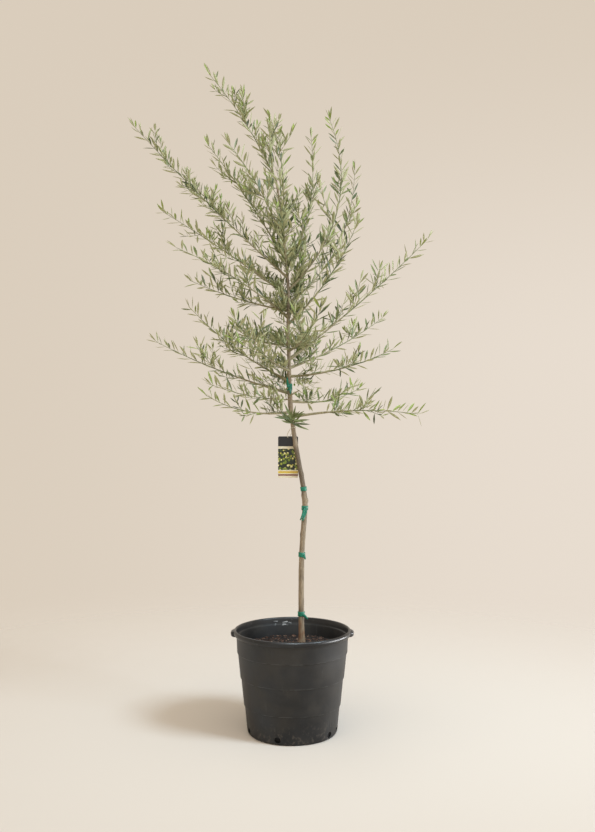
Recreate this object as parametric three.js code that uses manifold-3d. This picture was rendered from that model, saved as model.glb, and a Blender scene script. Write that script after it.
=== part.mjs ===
// Potted olive tree: a young olive on a slender, leaning trunk with an open crown of narrow
// leaves, in a round black nursery pot filled with bark mix. Tape ties and a label hang on the
// trunk. Millimetres, +Z up, origin at the centre of the pot's flat underside, front towards -Y.
import * as THREE from "three";
import { mergeVertices } from "three/addons/utils/BufferGeometryUtils.js";
import Module from "manifold-3d";

const wasm = await Module();
wasm.setup();

// ---- Driving dimensions -------------------------------------------------------------------

const CLEARANCE = 0.3;

// Pot: a thin moulded wall that leans and steps out, a collar and a thick rolled lip.
const POT_HEIGHT = 266;
const POT_BASE_RADIUS = 116;
const POT_CORNER = 8;
const POT_CORNER_CUT = 0.3;
const POT_LIP_RADIUS = 152.5;
const POT_LIP_HEIGHT = 14;
const POT_LIP_THICKNESS = 8.5;
const POT_ROUND = 3;
const POT_COLLAR_RADIUS = 143;
const POT_COLLAR_FOOT = 207;
const POT_COLLAR_SLOPE = 3;
const POT_WALL = 2.4;
const POT_INNER_TAPER = 1;
const POT_FLOOR = 3;
const POT_LEDGE_HEIGHT = 249;
const POT_STEP = 2.2;
const POT_STEP_HEIGHTS = [73, 144];
const POT_STEP_SLOPE = 1;
const POT_SIDES = 30;
const EAR_REACH = 160;
const EAR_HEIGHT = 14;
const EAR_DROP = 3;
const EAR_ROOT = 3;
const EAR_HALF_ANGLE = 8;
const EAR_SEGMENTS = 3;
const DRAIN_RADIUS = 8;
const DRAIN_SIDES = 10;
const DRILL_LENGTH = 40;
const DRAIN_HEIGHT = 14;
const DRAIN_ANGLES = [21, 72, 144, 165];

// Bark mix in the pot: flat round the trunk, a little uneven towards the wall.
const SOIL_TOP = 219;
const SOIL_FLAT_RADIUS = 48;
const SOIL_RINGS = [118, 84];
const SOIL_UNEVENNESS = 2;
const SOIL_WAVES = [0.09, 0.12];
const SOIL_INSET = 2.5;
const SOIL_EDGE_DROP = 3;

// Trunk stations from the flat cut on the soil to the tip: height, sideways, depth, radius.
const TRUNK_STATIONS = [
  [SOIL_TOP + CLEARANCE, 25, 0, 11.5],
  [231, 25, 0, 9],
  [262, 24, 0, 7.6],
  [350, 23, 1, 7.2],
  [470, 25, 2, 7],
  [538, 30, 2, 6.8],
  [598, 33, 1, 6.8],
  [656, 25, 0, 6.3],
  [725, 12, -1, 5.9],
  [790, 2, -1, 5.7],
  [875, -7, 0, 5.9],
  [960, -8, 1, 5],
  [1038, -11, 1, 4.5],
  [1150, -10, 0, 4],
  [1250, -19, -1, 3.3],
  [1344, -27, 0, 2.8],
  [1432, -43, -2, 2.2],
];
const TRUNK_SIDES = 8;
const TRUNK_STEPS = 2 * (TRUNK_STATIONS.length - 1);

// Boughs: height on the trunk, heading (degrees from +X), reach and rise of the tip, bow of the
// middle outwards and down, and the length of bare wood before the leafy shoots begin.
const BOUGHS = [
  { name: "left_1", at: 830, heading: 200, reach: 250, rise: 55, bow: 25, bare: 40 },
  { name: "left_2", at: 878, heading: 172, reach: 380, rise: 150, bow: 12, bare: 46 },
  { name: "left_3", at: 909, heading: 155, reach: 320, rise: 225, bow: 18, bare: 42 },
  { name: "left_4", at: 1092, heading: 152, reach: 325, rise: 108, bow: 10, bare: 40 },
  { name: "left_5", at: 1074, heading: 203, reach: 325, rise: 170, bow: -16, bare: 38 },
  { name: "left_6", at: 1128, heading: 168, reach: 365, rise: 250, bow: -6, bare: 44 },
  { name: "left_7", at: 1178, heading: 185, reach: 410, rise: 400, bow: 8, bare: 52 },
  { name: "left_8", at: 1220, heading: 148, reach: 270, rise: 360, bow: -8, bare: 42 },
  { name: "left_9", at: 1262, heading: 218, reach: 195, rise: 250, bow: -20, bare: 38 },
  { name: "left_10", at: 1312, heading: 120, reach: 85, rise: 322, bow: -34, bare: 36 },
  { name: "right_1", at: 816, heading: 353, reach: 352, rise: 4, bow: -15, bare: 84 },
  { name: "right_2", at: 922, heading: 340, reach: 300, rise: 76, bow: 18, bare: 46 },
  { name: "right_3", at: 944, heading: 28, reach: 310, rise: 160, bow: 14, bare: 44 },
  { name: "right_4", at: 966, heading: 3, reach: 382, rise: 335, bow: 10, bare: 50 },
  { name: "right_5", at: 1058, heading: 327, reach: 215, rise: 262, bow: 25, bare: 40 },
  { name: "right_6", at: 1112, heading: 32, reach: 212, rise: 400, bow: 60, bare: 44 },
  { name: "right_7", at: 1146, heading: 337, reach: 105, rise: 452, bow: 88, bare: 42 },
  { name: "right_8", at: 1204, heading: 50, reach: 95, rise: 386, bow: 50, bare: 38 },
  { name: "front_1", at: 936, heading: 245, reach: 315, rise: 120, bow: 20, bare: 42 },
  { name: "front_2", at: 988, heading: 286, reach: 310, rise: 96, bow: 20, bare: 44 },
  { name: "front_3", at: 1184, heading: 266, reach: 230, rise: 215, bow: 12, bare: 36 },
  { name: "back_1", at: 1070, heading: 78, reach: 250, rise: 270, bow: 16, bare: 40 },
  { name: "back_2", at: 1006, heading: 122, reach: 325, rise: 80, bow: 20, bare: 42 },
  { name: "back_3", at: 858, heading: 46, reach: 300, rise: 48, bow: 20, bare: 46 },
];
const BOUGH_SIDES = 5;
const BOUGH_STEPS = 2;
const BOUGH_BASE_RADIUS = 2.2;
const BOUGH_SWELL = 0.0035;
const BOUGH_SHARE = 0.8;

// The leader's mass runs on from the trunk's tip. Two masses stand straight on the trunk at the
// crown's foot: a long low spray and a short tuft, each with the spacing of its pairs of leaves.
const LEADER = { name: "leader", at: 1432, heading: 186, reach: 190, rise: 288, bow: -14 };
const TRUNK_SPRAYS = [
  { name: "low_spray", at: 862, heading: 214, reach: 232, rise: 34, bow: 10, spacing: 50 },
  { name: "tuft", at: 806, heading: 262, reach: 28, rise: 24, bow: 0, spacing: 9 },
];

// Shoots and leaves.
const STEM_RADIUS = 2;
const SIDE_SHOOT_RADIUS = 1.5;
const TIP_RADIUS = 1.1;
const STEM_STEP = 50;
const TIP_TRIM = 26;
const NODE_SPACING = 54;
const FIRST_NODE = 14;
const LAST_NODE = 6;
const TURN_WANDER = [-0.4, 0.4];
const FIRST_SHOOT = 20;
const LAST_SHOOT = 0.62;
const SHOOT_SPACING = 72;
const SHOOT_STEPS = 2;
const STEM_SIDES = 3;
const SIDE_SHOOT_LENGTH = 92;
const SIDE_SHOOT_TAPER = [1.1, 0.5];
const SIDE_SHOOT_SIZES = [0.8, 1.15];
const SIDE_SHOOT_TURNS = [-0.5, 0.9];
const SIDE_SHOOT_SPLAY = THREE.MathUtils.degToRad(48);
const SHOOT_SAG = 0.08;
const SHOOT_MARGIN = 3;
const LEAF_LENGTH = 62;
const LEAF_WIDTH = 18;
const LEAF_THICKNESS = 2.2;
const LEAF_WIDEST = 0.45;
const LEAF_SPLAY = THREE.MathUtils.degToRad(46);
const LEAF_SPLAYS = [0.8, 1.2];
const LEAF_SIZES = [0.85, 1.12];
const LEAF_TILT = 0.9;
const TIP_LEAF_SIZE = 0.75;
const LEAF_MARGINS = [[0.15, 2], [LEAF_WIDEST, LEAF_WIDTH / 2 + 0.5], [0.75, LEAF_WIDTH / 4], [1, 1]];
const LIFT = 0.28;
const SPINE_STEPS = 8;
const FIRST_SEED = 101;
const LEAF_SEED = 1000;

// Ties of plastic tape: height of the middle, height of the band, and its loose tails. A tail
// leans from straight down (towards the right when negative) and starts a little aside.
const TIES = [
  { at: 305, band: 12, tails: [{ length: 11, lean: -58, aside: 4, ahead: 0 }] },
  { at: 459, band: 12, tails: [{ length: 6, lean: -36, aside: 4, ahead: 0 }] },
  {
    at: 580,
    band: 12,
    tails: [
      { length: 28, lean: 8, aside: 4, ahead: 0 },
      { length: 26, lean: 10, aside: -1, ahead: 0.7 },
    ],
  },
  { at: 630, band: 11, tails: [] },
  {
    at: 893,
    band: 13,
    tails: [
      { length: 9, lean: -14, aside: 1, ahead: 0 },
      { length: 19, lean: 168, aside: -1, ahead: 0.7 },
    ],
  },
];
const TAPE_THICKNESS = 1.2;
const TAPE_EASE = 0.7;
const TAPE_SIDES = 12;
const TAIL_WIDTH = 6;
const TAIL_SEAT = 0.2;

// Label: a card behind the trunk on a thin loop.
const CARD_WIDTH = 52;
const CARD_HEIGHT = 108;
const CARD_THICKNESS = 1.2;
const CARD_CENTRE = new THREE.Vector3(-11, 7.6, 712);
const LOOP_RADIUS = 0.9;
const LOOP_EASE = 1.1;
const LOOP_RISE = 26;
const LOOP_SLACK = 4;
const LOOP_STEPS = 18;
const LOOP_SEGMENTS = 4;
const HOLE_INSET = 3;

// ---- Materials ----------------------------------------------------------------------------

function material(color, roughness, metalness = 0) {
  return new THREE.MeshStandardMaterial({ color, roughness, metalness });
}

const LOOKS = {
  pot: [0x24221f, 0.5],
  soil: [0x3a2a20, 0.95],
  bark: [0x7d6a56, 0.85],
  leaves: [0x67774d, 0.5],
  tape: [0x12896a, 0.45],
  card: [0xd9d2b0, 0.45],
};

// ---- Solids -------------------------------------------------------------------------------

function toSolid(geometry) {
  const bare = geometry.index ? geometry.toNonIndexed() : geometry;
  bare.deleteAttribute("normal");
  bare.deleteAttribute("uv");
  const merged = mergeVertices(bare, 1e-4);
  const mesh = new wasm.Mesh({
    numProp: 3,
    vertProperties: new Float32Array(merged.attributes.position.array),
    triVerts: new Uint32Array(merged.index.array),
  });
  return new wasm.Manifold(mesh);
}

function join(solids) {
  return wasm.Manifold.union(solids);
}

// The biggest body alone, with any sealed hollow filled and any loose scrap dropped.
function mainBody(solid) {
  const bodies = solid.decompose();
  bodies.sort((a, b) => b.volume() - a.volume());
  return bodies[0];
}

const tree = new THREE.Group();

function addPiece(name, solid, look) {
  const { vertProperties, triVerts, numProp } = mainBody(solid).getMesh();
  const geometry = new THREE.BufferGeometry();
  const positions = new Float32Array((vertProperties.length / numProp) * 3);
  for (let i = 0; i < positions.length / 3; i += 1) {
    positions.set(vertProperties.slice(i * numProp, i * numProp + 3), i * 3);
  }
  geometry.setAttribute("position", new THREE.BufferAttribute(positions, 3));
  geometry.setIndex(new THREE.BufferAttribute(new Uint32Array(triVerts), 1));
  geometry.computeVertexNormals();
  const mesh = new THREE.Mesh(geometry, material(...LOOKS[look]));
  mesh.name = name;
  tree.add(mesh);
}

// ---- Helpers ------------------------------------------------------------------------------

const UP = new THREE.Vector3(0, 0, 1);
const radians = THREE.MathUtils.degToRad;
const mix = THREE.MathUtils.lerp;
const pick = ([low, high], random) => mix(low, high, random());

function randomFrom(seed) {
  let state = seed;
  return () => {
    state = (state + 0x6d2b79f5) | 0;
    let t = Math.imul(state ^ (state >>> 15), 1 | state);
    t = (t + Math.imul(t ^ (t >>> 7), 61 | t)) ^ t;
    return ((t ^ (t >>> 14)) >>> 0) / 2 ** 32;
  };
}

// A many-sided tube along a curve, whose radius follows radiusAt(0..1).
function taperedTube(curve, radiusAt, sides, steps) {
  const section = new THREE.Shape();
  for (let side = 0; side < sides; side += 1) {
    const angle = (side / sides) * 2 * Math.PI;
    const corner = new THREE.Vector2(Math.cos(angle), Math.sin(angle));
    if (side === 0) section.moveTo(corner.x, corner.y);
    else section.lineTo(corner.x, corner.y);
  }
  section.closePath();
  const geometry = new THREE.ExtrudeGeometry(section, { depth: 1, steps, bevelEnabled: false });
  const { normals, binormals } = curve.computeFrenetFrames(steps, false);
  const position = geometry.attributes.position;
  for (let i = 0; i < position.count; i += 1) {
    const step = Math.round(position.getZ(i) * steps);
    const radius = radiusAt(step / steps);
    const point = curve.getPoint(step / steps);
    point.addScaledVector(normals[step], position.getX(i) * radius);
    point.addScaledVector(binormals[step], position.getY(i) * radius);
    position.setXYZ(i, point.x, point.y, point.z);
  }
  return toSolid(geometry);
}

// ---- Pot and soil -------------------------------------------------------------------------

// Radius of the outer wall below the collar: a straight lean with a small step out at each line.
function wallRadius(height) {
  const allSteps = (POT_STEP_HEIGHTS.length + 1) * POT_STEP;
  const lean = (POT_COLLAR_RADIUS - allSteps - POT_BASE_RADIUS) / POT_COLLAR_FOOT;
  const steps = POT_STEP_HEIGHTS.filter((line) => height > line).length;
  return POT_BASE_RADIUS + lean * height + steps * POT_STEP;
}

function outerProfile() {
  const profile = [[POT_BASE_RADIUS - POT_CORNER, 0]];
  const cut = POT_CORNER * POT_CORNER_CUT;
  profile.push([POT_BASE_RADIUS - cut, cut]);
  profile.push([wallRadius(POT_CORNER), POT_CORNER]);
  for (const line of POT_STEP_HEIGHTS) {
    profile.push([wallRadius(line), line]);
    profile.push([wallRadius(line + POT_STEP_SLOPE), line + POT_STEP_SLOPE]);
  }
  profile.push([wallRadius(POT_COLLAR_FOOT), POT_COLLAR_FOOT]);
  profile.push([POT_COLLAR_RADIUS, POT_COLLAR_FOOT + POT_COLLAR_SLOPE]);
  profile.push([POT_COLLAR_RADIUS + POT_STEP, POT_HEIGHT - POT_LIP_HEIGHT]);
  return profile;
}

function makePot() {
  const inner = POT_COLLAR_RADIUS - POT_WALL;
  const lip = [
    [POT_LIP_RADIUS - POT_ROUND, POT_HEIGHT - POT_LIP_HEIGHT],
    [POT_LIP_RADIUS, POT_HEIGHT - POT_LIP_HEIGHT + POT_ROUND],
    [POT_LIP_RADIUS, POT_HEIGHT - 2 * POT_ROUND],
    [POT_LIP_RADIUS - POT_ROUND, POT_HEIGHT],
    [POT_LIP_RADIUS - 2 * POT_ROUND, POT_HEIGHT],
    [POT_LIP_RADIUS - POT_LIP_THICKNESS, POT_LEDGE_HEIGHT],
    [inner - POT_INNER_TAPER, POT_LEDGE_HEIGHT - POT_COLLAR_SLOPE],
    [inner - 2 * POT_INNER_TAPER, POT_COLLAR_FOOT],
  ];
  const floor = [
    ...[...POT_STEP_HEIGHTS].reverse().flatMap((line) => [
      [wallRadius(line + POT_STEP_SLOPE) - POT_WALL, line + POT_STEP_SLOPE],
      [wallRadius(line) - POT_WALL, line],
    ]),
    [wallRadius(POT_CORNER) - POT_WALL, POT_CORNER],
    [POT_BASE_RADIUS - POT_CORNER - POT_INNER_TAPER, POT_FLOOR],
    [0, POT_FLOOR],
  ];
  const profile = [[0, 0], ...outerProfile(), ...lip, ...floor];
  const points = profile.map(([radius, height]) => new THREE.Vector2(radius, height));
  let pot = toSolid(new THREE.LatheGeometry(points, POT_SIDES).rotateX(Math.PI / 2));

  const ear = new THREE.Shape();
  const half = radians(EAR_HALF_ANGLE);
  ear.absarc(0, 0, EAR_REACH, -half, half, false);
  ear.absarc(0, 0, POT_LIP_RADIUS - EAR_ROOT, half, -half, true);
  for (const turn of [0, Math.PI]) {
    const shape = { depth: EAR_HEIGHT, bevelEnabled: false, curveSegments: EAR_SEGMENTS };
    const geometry = new THREE.ExtrudeGeometry(ear, shape).rotateZ(turn);
    geometry.translate(0, 0, POT_HEIGHT - EAR_HEIGHT - EAR_DROP);
    pot = pot.add(toSolid(geometry));
  }

  for (const angle of [...DRAIN_ANGLES, ...DRAIN_ANGLES.map((degrees) => degrees + 180)]) {
    const drill = new THREE.CylinderGeometry(DRAIN_RADIUS, DRAIN_RADIUS, DRILL_LENGTH, DRAIN_SIDES);
    drill.rotateZ(Math.PI / 2).translate(POT_BASE_RADIUS, 0, DRAIN_HEIGHT);
    pot = pot.subtract(toSolid(drill.rotateZ(radians(angle))));
  }
  addPiece("pot", pot, "pot");
}

function makeSoil() {
  const gap = POT_WALL + CLEARANCE;
  const edge = POT_COLLAR_RADIUS - gap - SOIL_INSET;
  const profile = [
    [0, POT_FLOOR + CLEARANCE],
    [POT_BASE_RADIUS - POT_CORNER - SOIL_INSET, POT_FLOOR + CLEARANCE],
    [wallRadius(POT_CORNER) - gap - 1, POT_CORNER + CLEARANCE],
    ...POT_STEP_HEIGHTS.map((line) => [wallRadius(line) - gap, line + POT_STEP_SLOPE]),
    [edge - 1, POT_COLLAR_FOOT - POT_CORNER],
    [edge, SOIL_TOP - SOIL_EDGE_DROP],
    ...SOIL_RINGS.map((radius) => [radius, SOIL_TOP]),
    [SOIL_FLAT_RADIUS, SOIL_TOP],
    [0, SOIL_TOP],
  ];
  const points = profile.map(([radius, height]) => new THREE.Vector2(radius, height));
  const geometry = new THREE.LatheGeometry(points, POT_SIDES).rotateX(Math.PI / 2);
  const position = geometry.attributes.position;
  for (let i = 0; i < position.count; i += 1) {
    const radius = Math.hypot(position.getX(i), position.getY(i));
    const uneven = position.getZ(i) > SOIL_TOP - 1 && radius > SOIL_FLAT_RADIUS + 1;
    const wave = Math.sin(position.getX(i) * SOIL_WAVES[0]) + Math.cos(position.getY(i) * SOIL_WAVES[1]);
    if (uneven) position.setZ(i, SOIL_TOP + SOIL_UNEVENNESS * 0.5 * wave);
  }
  addPiece("soil", toSolid(geometry), "soil");
}

// ---- Trunk and boughs ---------------------------------------------------------------------

const trunkCurve = new THREE.CatmullRomCurve3(
  TRUNK_STATIONS.map(([height, x, y]) => new THREE.Vector3(x, y, height)),
);
const trunkAxis = trunkCurve.getPoints(TRUNK_STEPS);

// The neighbours below and above a height in a rising list, and how far it lies between them.
function bracket(heights, height) {
  const above = Math.max(1, heights.findIndex((value) => value >= height - 1e-6));
  const share = (height - heights[above - 1]) / (heights[above] - heights[above - 1]);
  return [above - 1, above, share];
}

function trunkPoint(height) {
  const [low, high, share] = bracket(trunkAxis.map((point) => point.z), height);
  return trunkAxis[low].clone().lerp(trunkAxis[high], share);
}

function trunkRadius(height) {
  const [low, high, share] = bracket(TRUNK_STATIONS.map((station) => station[0]), height);
  return mix(TRUNK_STATIONS[low][3], TRUNK_STATIONS[high][3], share);
}

function trunkTube(extra) {
  const radiusAt = (t) => trunkRadius(trunkCurve.getPoint(t).z) + extra;
  return taperedTube(trunkCurve, radiusAt, TRUNK_SIDES, TRUNK_STEPS);
}

// The whole run of a limb, from the trunk's axis to its furthest tip.
function limbCurve({ at, heading, reach, rise, bow }) {
  const root = trunkPoint(at);
  const outward = new THREE.Vector3(Math.cos(radians(heading)), Math.sin(radians(heading)), 0);
  const tip = root.clone().addScaledVector(outward, reach).addScaledVector(UP, rise);
  const sag = outward.clone().multiplyScalar(rise).addScaledVector(UP, -reach).normalize();
  const middle = root.clone().lerp(tip, 0.5).addScaledVector(sag, 2 * bow);
  return new THREE.QuadraticBezierCurve3(root, middle, tip);
}

// The stretch of a limb's curve between two fractions of it.
function stretch(curve, from, to) {
  const middle = new THREE.Vector3();
  middle.addScaledVector(curve.v0, (1 - from) * (1 - to));
  middle.addScaledVector(curve.v1, (1 - from) * to + from * (1 - to));
  middle.addScaledVector(curve.v2, from * to);
  return new THREE.QuadraticBezierCurve3(curve.getPoint(from), middle, curve.getPoint(to));
}

function boughRadius(bough, length) {
  return Math.min(BOUGH_BASE_RADIUS + BOUGH_SWELL * length, BOUGH_SHARE * trunkRadius(bough.at));
}

// ---- Space that each mass keeps to --------------------------------------------------------

const spines = [];
const limbs = [];

function spineOf(curve, steps, radius = 0) {
  const points = curve.getPoints(steps);
  const segments = points.slice(1).map((end, i) => new THREE.Line3(points[i], end));
  return { segments, radius };
}

const nearest = new THREE.Vector3();
function distanceTo(spine, point) {
  let best = Infinity;
  for (const segment of spine.segments) {
    segment.closestPointToPoint(point, true, nearest);
    best = Math.min(best, nearest.distanceTo(point));
  }
  return best;
}

// True where the point is nearer to its own stem than to any other, and clear of every limb.
function isFree(point, own, margin) {
  const reach = distanceTo(own, point) + 2 * margin;
  if (spines.some((spine) => spine !== own && distanceTo(spine, point) < reach)) return false;
  return limbs.every((limb) => distanceTo(limb, point) > limb.radius + margin);
}

// ---- Leaves and shoots --------------------------------------------------------------------

// One blade: flat above and keeled below, broadest at LEAF_WIDEST, with a point at either end.
function leafSolid(root, along, upward, length, width) {
  const across = along.clone().cross(upward).normalize();
  const face = across.clone().cross(along).normalize();
  const middle = root.clone().addScaledVector(along, length * LEAF_WIDEST);
  const corners = [
    root,
    middle.clone().addScaledVector(across, -width / 2),
    middle.clone().addScaledVector(across, width / 2),
    middle.clone().addScaledVector(face, -LEAF_THICKNESS),
    root.clone().addScaledVector(along, length),
  ];
  const geometry = new THREE.BufferGeometry().setFromPoints(corners);
  geometry.setIndex([0, 2, 1, 0, 3, 2, 0, 1, 3, 4, 1, 2, 4, 2, 3, 4, 3, 1]);
  return toSolid(geometry);
}

// A direction that leaves the shoot at an angle, turned round it, and lifted towards the light.
function splayed(curve, t, splay, turn) {
  const tangent = curve.getTangentAt(t);
  const aside = tangent.clone().cross(UP).normalize();
  const above = aside.clone().cross(tangent).normalize();
  const out = aside.multiplyScalar(Math.cos(turn)).addScaledVector(above, Math.sin(turn));
  const direction = tangent.multiplyScalar(Math.cos(splay)).addScaledVector(out, Math.sin(splay));
  return direction.addScaledVector(UP, LIFT).normalize();
}

function addLeaf(solids, own, root, direction, size, random) {
  const length = LEAF_LENGTH * size * pick(LEAF_SIZES, random);
  const free = LEAF_MARGINS.every(([share, margin]) => {
    return isFree(root.clone().addScaledVector(direction, share * length), own, margin);
  });
  if (!free) return;
  const tilt = new THREE.Vector3(random() - 0.5, random() - 0.5, 0).multiplyScalar(LEAF_TILT).add(UP);
  const width = LEAF_WIDTH * size * pick(LEAF_SIZES, random);
  solids.push(leafSolid(root, direction, tilt, length, width));
}

// Pairs of leaves along a shoot, each pair turned from the last, and one leaf at its tip.
function growLeaves(solids, own, curve, spacing, random) {
  const length = curve.getLength();
  let turn = random() * Math.PI;
  for (let along = FIRST_NODE; along < length - LAST_NODE; along += spacing) {
    const size = mix(1, TIP_LEAF_SIZE, along / length);
    for (const side of [0, Math.PI]) {
      const splay = LEAF_SPLAY * pick(LEAF_SPLAYS, random);
      const direction = splayed(curve, along / length, splay, turn + side);
      addLeaf(solids, own, curve.getPointAt(along / length), direction, size, random);
    }
    turn += Math.PI / 2 + pick(TURN_WANDER, random);
  }
  const tipDirection = curve.getTangentAt(1).addScaledVector(UP, LIFT * 0.5).normalize();
  const tip = curve.getPointAt(1 - 1 / length);
  addLeaf(solids, own, tip, tipDirection, TIP_LEAF_SIZE, random);
}

// The side shoots of a stem: alternate, shorter towards its tip, and left out where they
// would reach into another mass's space.
function sideShoots(stem, own, random) {
  const shoots = [];
  const length = stem.getLength();
  let side = random() < 0.5 ? 0 : Math.PI;
  for (let along = FIRST_SHOOT; along < length * LAST_SHOOT; along += SHOOT_SPACING) {
    const t = along / length;
    const reach = SIDE_SHOOT_LENGTH * mix(...SIDE_SHOOT_TAPER, t) * pick(SIDE_SHOOT_SIZES, random);
    const turn = side + pick(SIDE_SHOOT_TURNS, random) * (side === 0 ? 1 : -1);
    side = Math.PI - side;
    const root = stem.getPointAt(t);
    const tip = root.clone().addScaledVector(splayed(stem, t, SIDE_SHOOT_SPLAY, turn), reach);
    const middle = root.clone().lerp(tip, 0.5).addScaledVector(UP, -SHOOT_SAG * reach);
    const shoot = new THREE.QuadraticBezierCurve3(root, middle, tip);
    const free = [0.3, 0.6, 1].every((share) => isFree(shoot.getPoint(share), own, SHOOT_MARGIN));
    if (free) shoots.push(shoot);
  }
  return shoots;
}

function massSolid({ curve, spine, radius, spacing = NODE_SPACING }, seed) {
  const steps = Math.max(2, Math.round(curve.getLength() / STEM_STEP));
  const solids = [taperedTube(curve, (t) => mix(radius, TIP_RADIUS, t), STEM_SIDES, steps)];
  const random = randomFrom(seed + LEAF_SEED);
  growLeaves(solids, spine, curve, spacing, random);
  for (const shoot of sideShoots(curve, spine, randomFrom(seed))) {
    const radiusAt = (t) => mix(SIDE_SHOOT_RADIUS, TIP_RADIUS, t);
    solids.push(taperedTube(shoot, radiusAt, STEM_SIDES, SHOOT_STEPS));
    growLeaves(solids, spine, shoot, NODE_SPACING, random);
  }
  return join(solids);
}

// ---- The plant ----------------------------------------------------------------------------

function makePlant() {
  addPiece("trunk", trunkTube(0), "bark");
  const aroundTrunk = trunkTube(CLEARANCE);
  limbs.push(spineOf(trunkCurve, TRUNK_STEPS, trunkRadius(TRUNK_SPRAYS[1].at)));

  const masses = [];
  for (const bough of BOUGHS) {
    const whole = limbCurve(bough);
    const length = whole.getLength();
    const shareAt = (along) => whole.getUtoTmapping(along / length);
    const radius = boughRadius(bough, length);
    const tipRadius = mix(radius, TIP_RADIUS, bough.bare / length);
    const wood = stretch(whole, 0, shareAt(bough.bare));
    const tube = taperedTube(wood, (t) => mix(radius, tipRadius, t), BOUGH_SIDES, BOUGH_STEPS);
    addPiece(`bough_${bough.name}`, tube.subtract(aroundTrunk), "bark");
    limbs.push(spineOf(wood, BOUGH_STEPS, radius));
    const curve = stretch(whole, shareAt(bough.bare + CLEARANCE), shareAt(length - TIP_TRIM));
    masses.push({ name: bough.name, curve, radius: tipRadius });
  }

  const leader = limbCurve(LEADER);
  const top = leader.getLength();
  const run = [2 * CLEARANCE, top - TIP_TRIM].map((along) => leader.getUtoTmapping(along / top));
  masses.push({ name: LEADER.name, curve: stretch(leader, ...run), radius: STEM_RADIUS });
  for (const spray of TRUNK_SPRAYS) {
    masses.push({ ...spray, curve: limbCurve(spray), radius: STEM_RADIUS });
  }

  for (const mass of masses) {
    mass.spine = spineOf(mass.curve, SPINE_STEPS);
    spines.push(mass.spine);
  }
  masses.forEach((mass, index) => {
    const solid = massSolid(mass, FIRST_SEED + index);
    addPiece(`foliage_${mass.name}`, solid.subtract(aroundTrunk), "leaves");
  });
}

// ---- Ties and label -----------------------------------------------------------------------

function makeTie({ at, band, tails }, number) {
  const inner = trunkRadius(at) + TAPE_EASE;
  const outer = inner + TAPE_THICKNESS;
  const section = [[inner, -band / 2], [outer, -band / 2], [outer, band / 2], [inner, band / 2]];
  const points = [...section, section[0]].map(([radius, height]) => new THREE.Vector2(radius, height));
  const ring = new THREE.LatheGeometry(points, TAPE_SIDES);
  const along = trunkPoint(at + band).sub(trunkPoint(at - band)).normalize();
  ring.applyQuaternion(new THREE.Quaternion().setFromUnitVectors(new THREE.Vector3(0, 1, 0), along));
  let tie = toSolid(ring);
  for (const { length, lean, aside, ahead } of tails) {
    const tail = new THREE.BoxGeometry(TAIL_WIDTH, TAPE_THICKNESS, length + band / 2);
    tail.translate(0, 0, -(length + band / 2) / 2);
    tail.rotateY(radians(lean));
    tail.translate(aside, TAIL_SEAT - outer - ahead, 0);
    tie = tie.add(toSolid(tail));
  }
  addPiece(`tie_${number + 1}`, tie.translate(trunkPoint(at).toArray()), "tape");
}

function makeTag() {
  const card = new THREE.BoxGeometry(CARD_WIDTH, CARD_THICKNESS, CARD_HEIGHT);
  card.translate(CARD_CENTRE.x, CARD_CENTRE.y, CARD_CENTRE.z);
  const holeHeight = CARD_CENTRE.z + CARD_HEIGHT / 2 - HOLE_INSET;
  const loopHeight = holeHeight + LOOP_RISE;
  const round = trunkRadius(loopHeight) + LOOP_EASE + LOOP_RADIUS;
  const { x, y } = trunkPoint(loopHeight);
  const loop = new THREE.CatmullRomCurve3(
    [
      new THREE.Vector3(CARD_CENTRE.x, CARD_CENTRE.y, holeHeight),
      new THREE.Vector3(x - round, y - LOOP_SLACK / 2, loopHeight - LOOP_SLACK),
      new THREE.Vector3(x, y - round, loopHeight),
      new THREE.Vector3(x + round, y, loopHeight),
      new THREE.Vector3(x + LOOP_SLACK / 2, y + round, loopHeight - LOOP_SLACK),
    ],
    true,
  );
  const wire = new THREE.Shape().absarc(0, 0, LOOP_RADIUS, 0, 2 * Math.PI, false);
  const thread = { steps: LOOP_STEPS, curveSegments: LOOP_SEGMENTS, extrudePath: loop };
  const tube = new THREE.ExtrudeGeometry(wire, { ...thread, bevelEnabled: false });
  const solid = toSolid(card).add(toSolid(tube));
  addPiece("tag", solid, "card");
}

makePot();
makeSoil();
makePlant();
TIES.forEach(makeTie);
makeTag();

export default tree;
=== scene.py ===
# %% [markdown]
# # A young olive tree in a nursery pot
#
# This lesson dresses a potted olive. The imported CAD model, called the frame here, already has
# every solid at its real size and place: pot, potting mix, trunk, boughs, masses of foliage,
# tape ties and a label. Blender gives each one the surface that the real thing has. Wood gets
# bark in relief, the masses grow into fine twigs and some thousands of small leaves, the pot is
# moulded again with soft edges, and the mix gets its chips of bark.
#
# All lengths are in metres, +Z is up, and the front of the pot looks towards -Y.

import math

import bmesh
import bpy
import numpy as np
from mathutils import Matrix, Vector, noise


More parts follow.
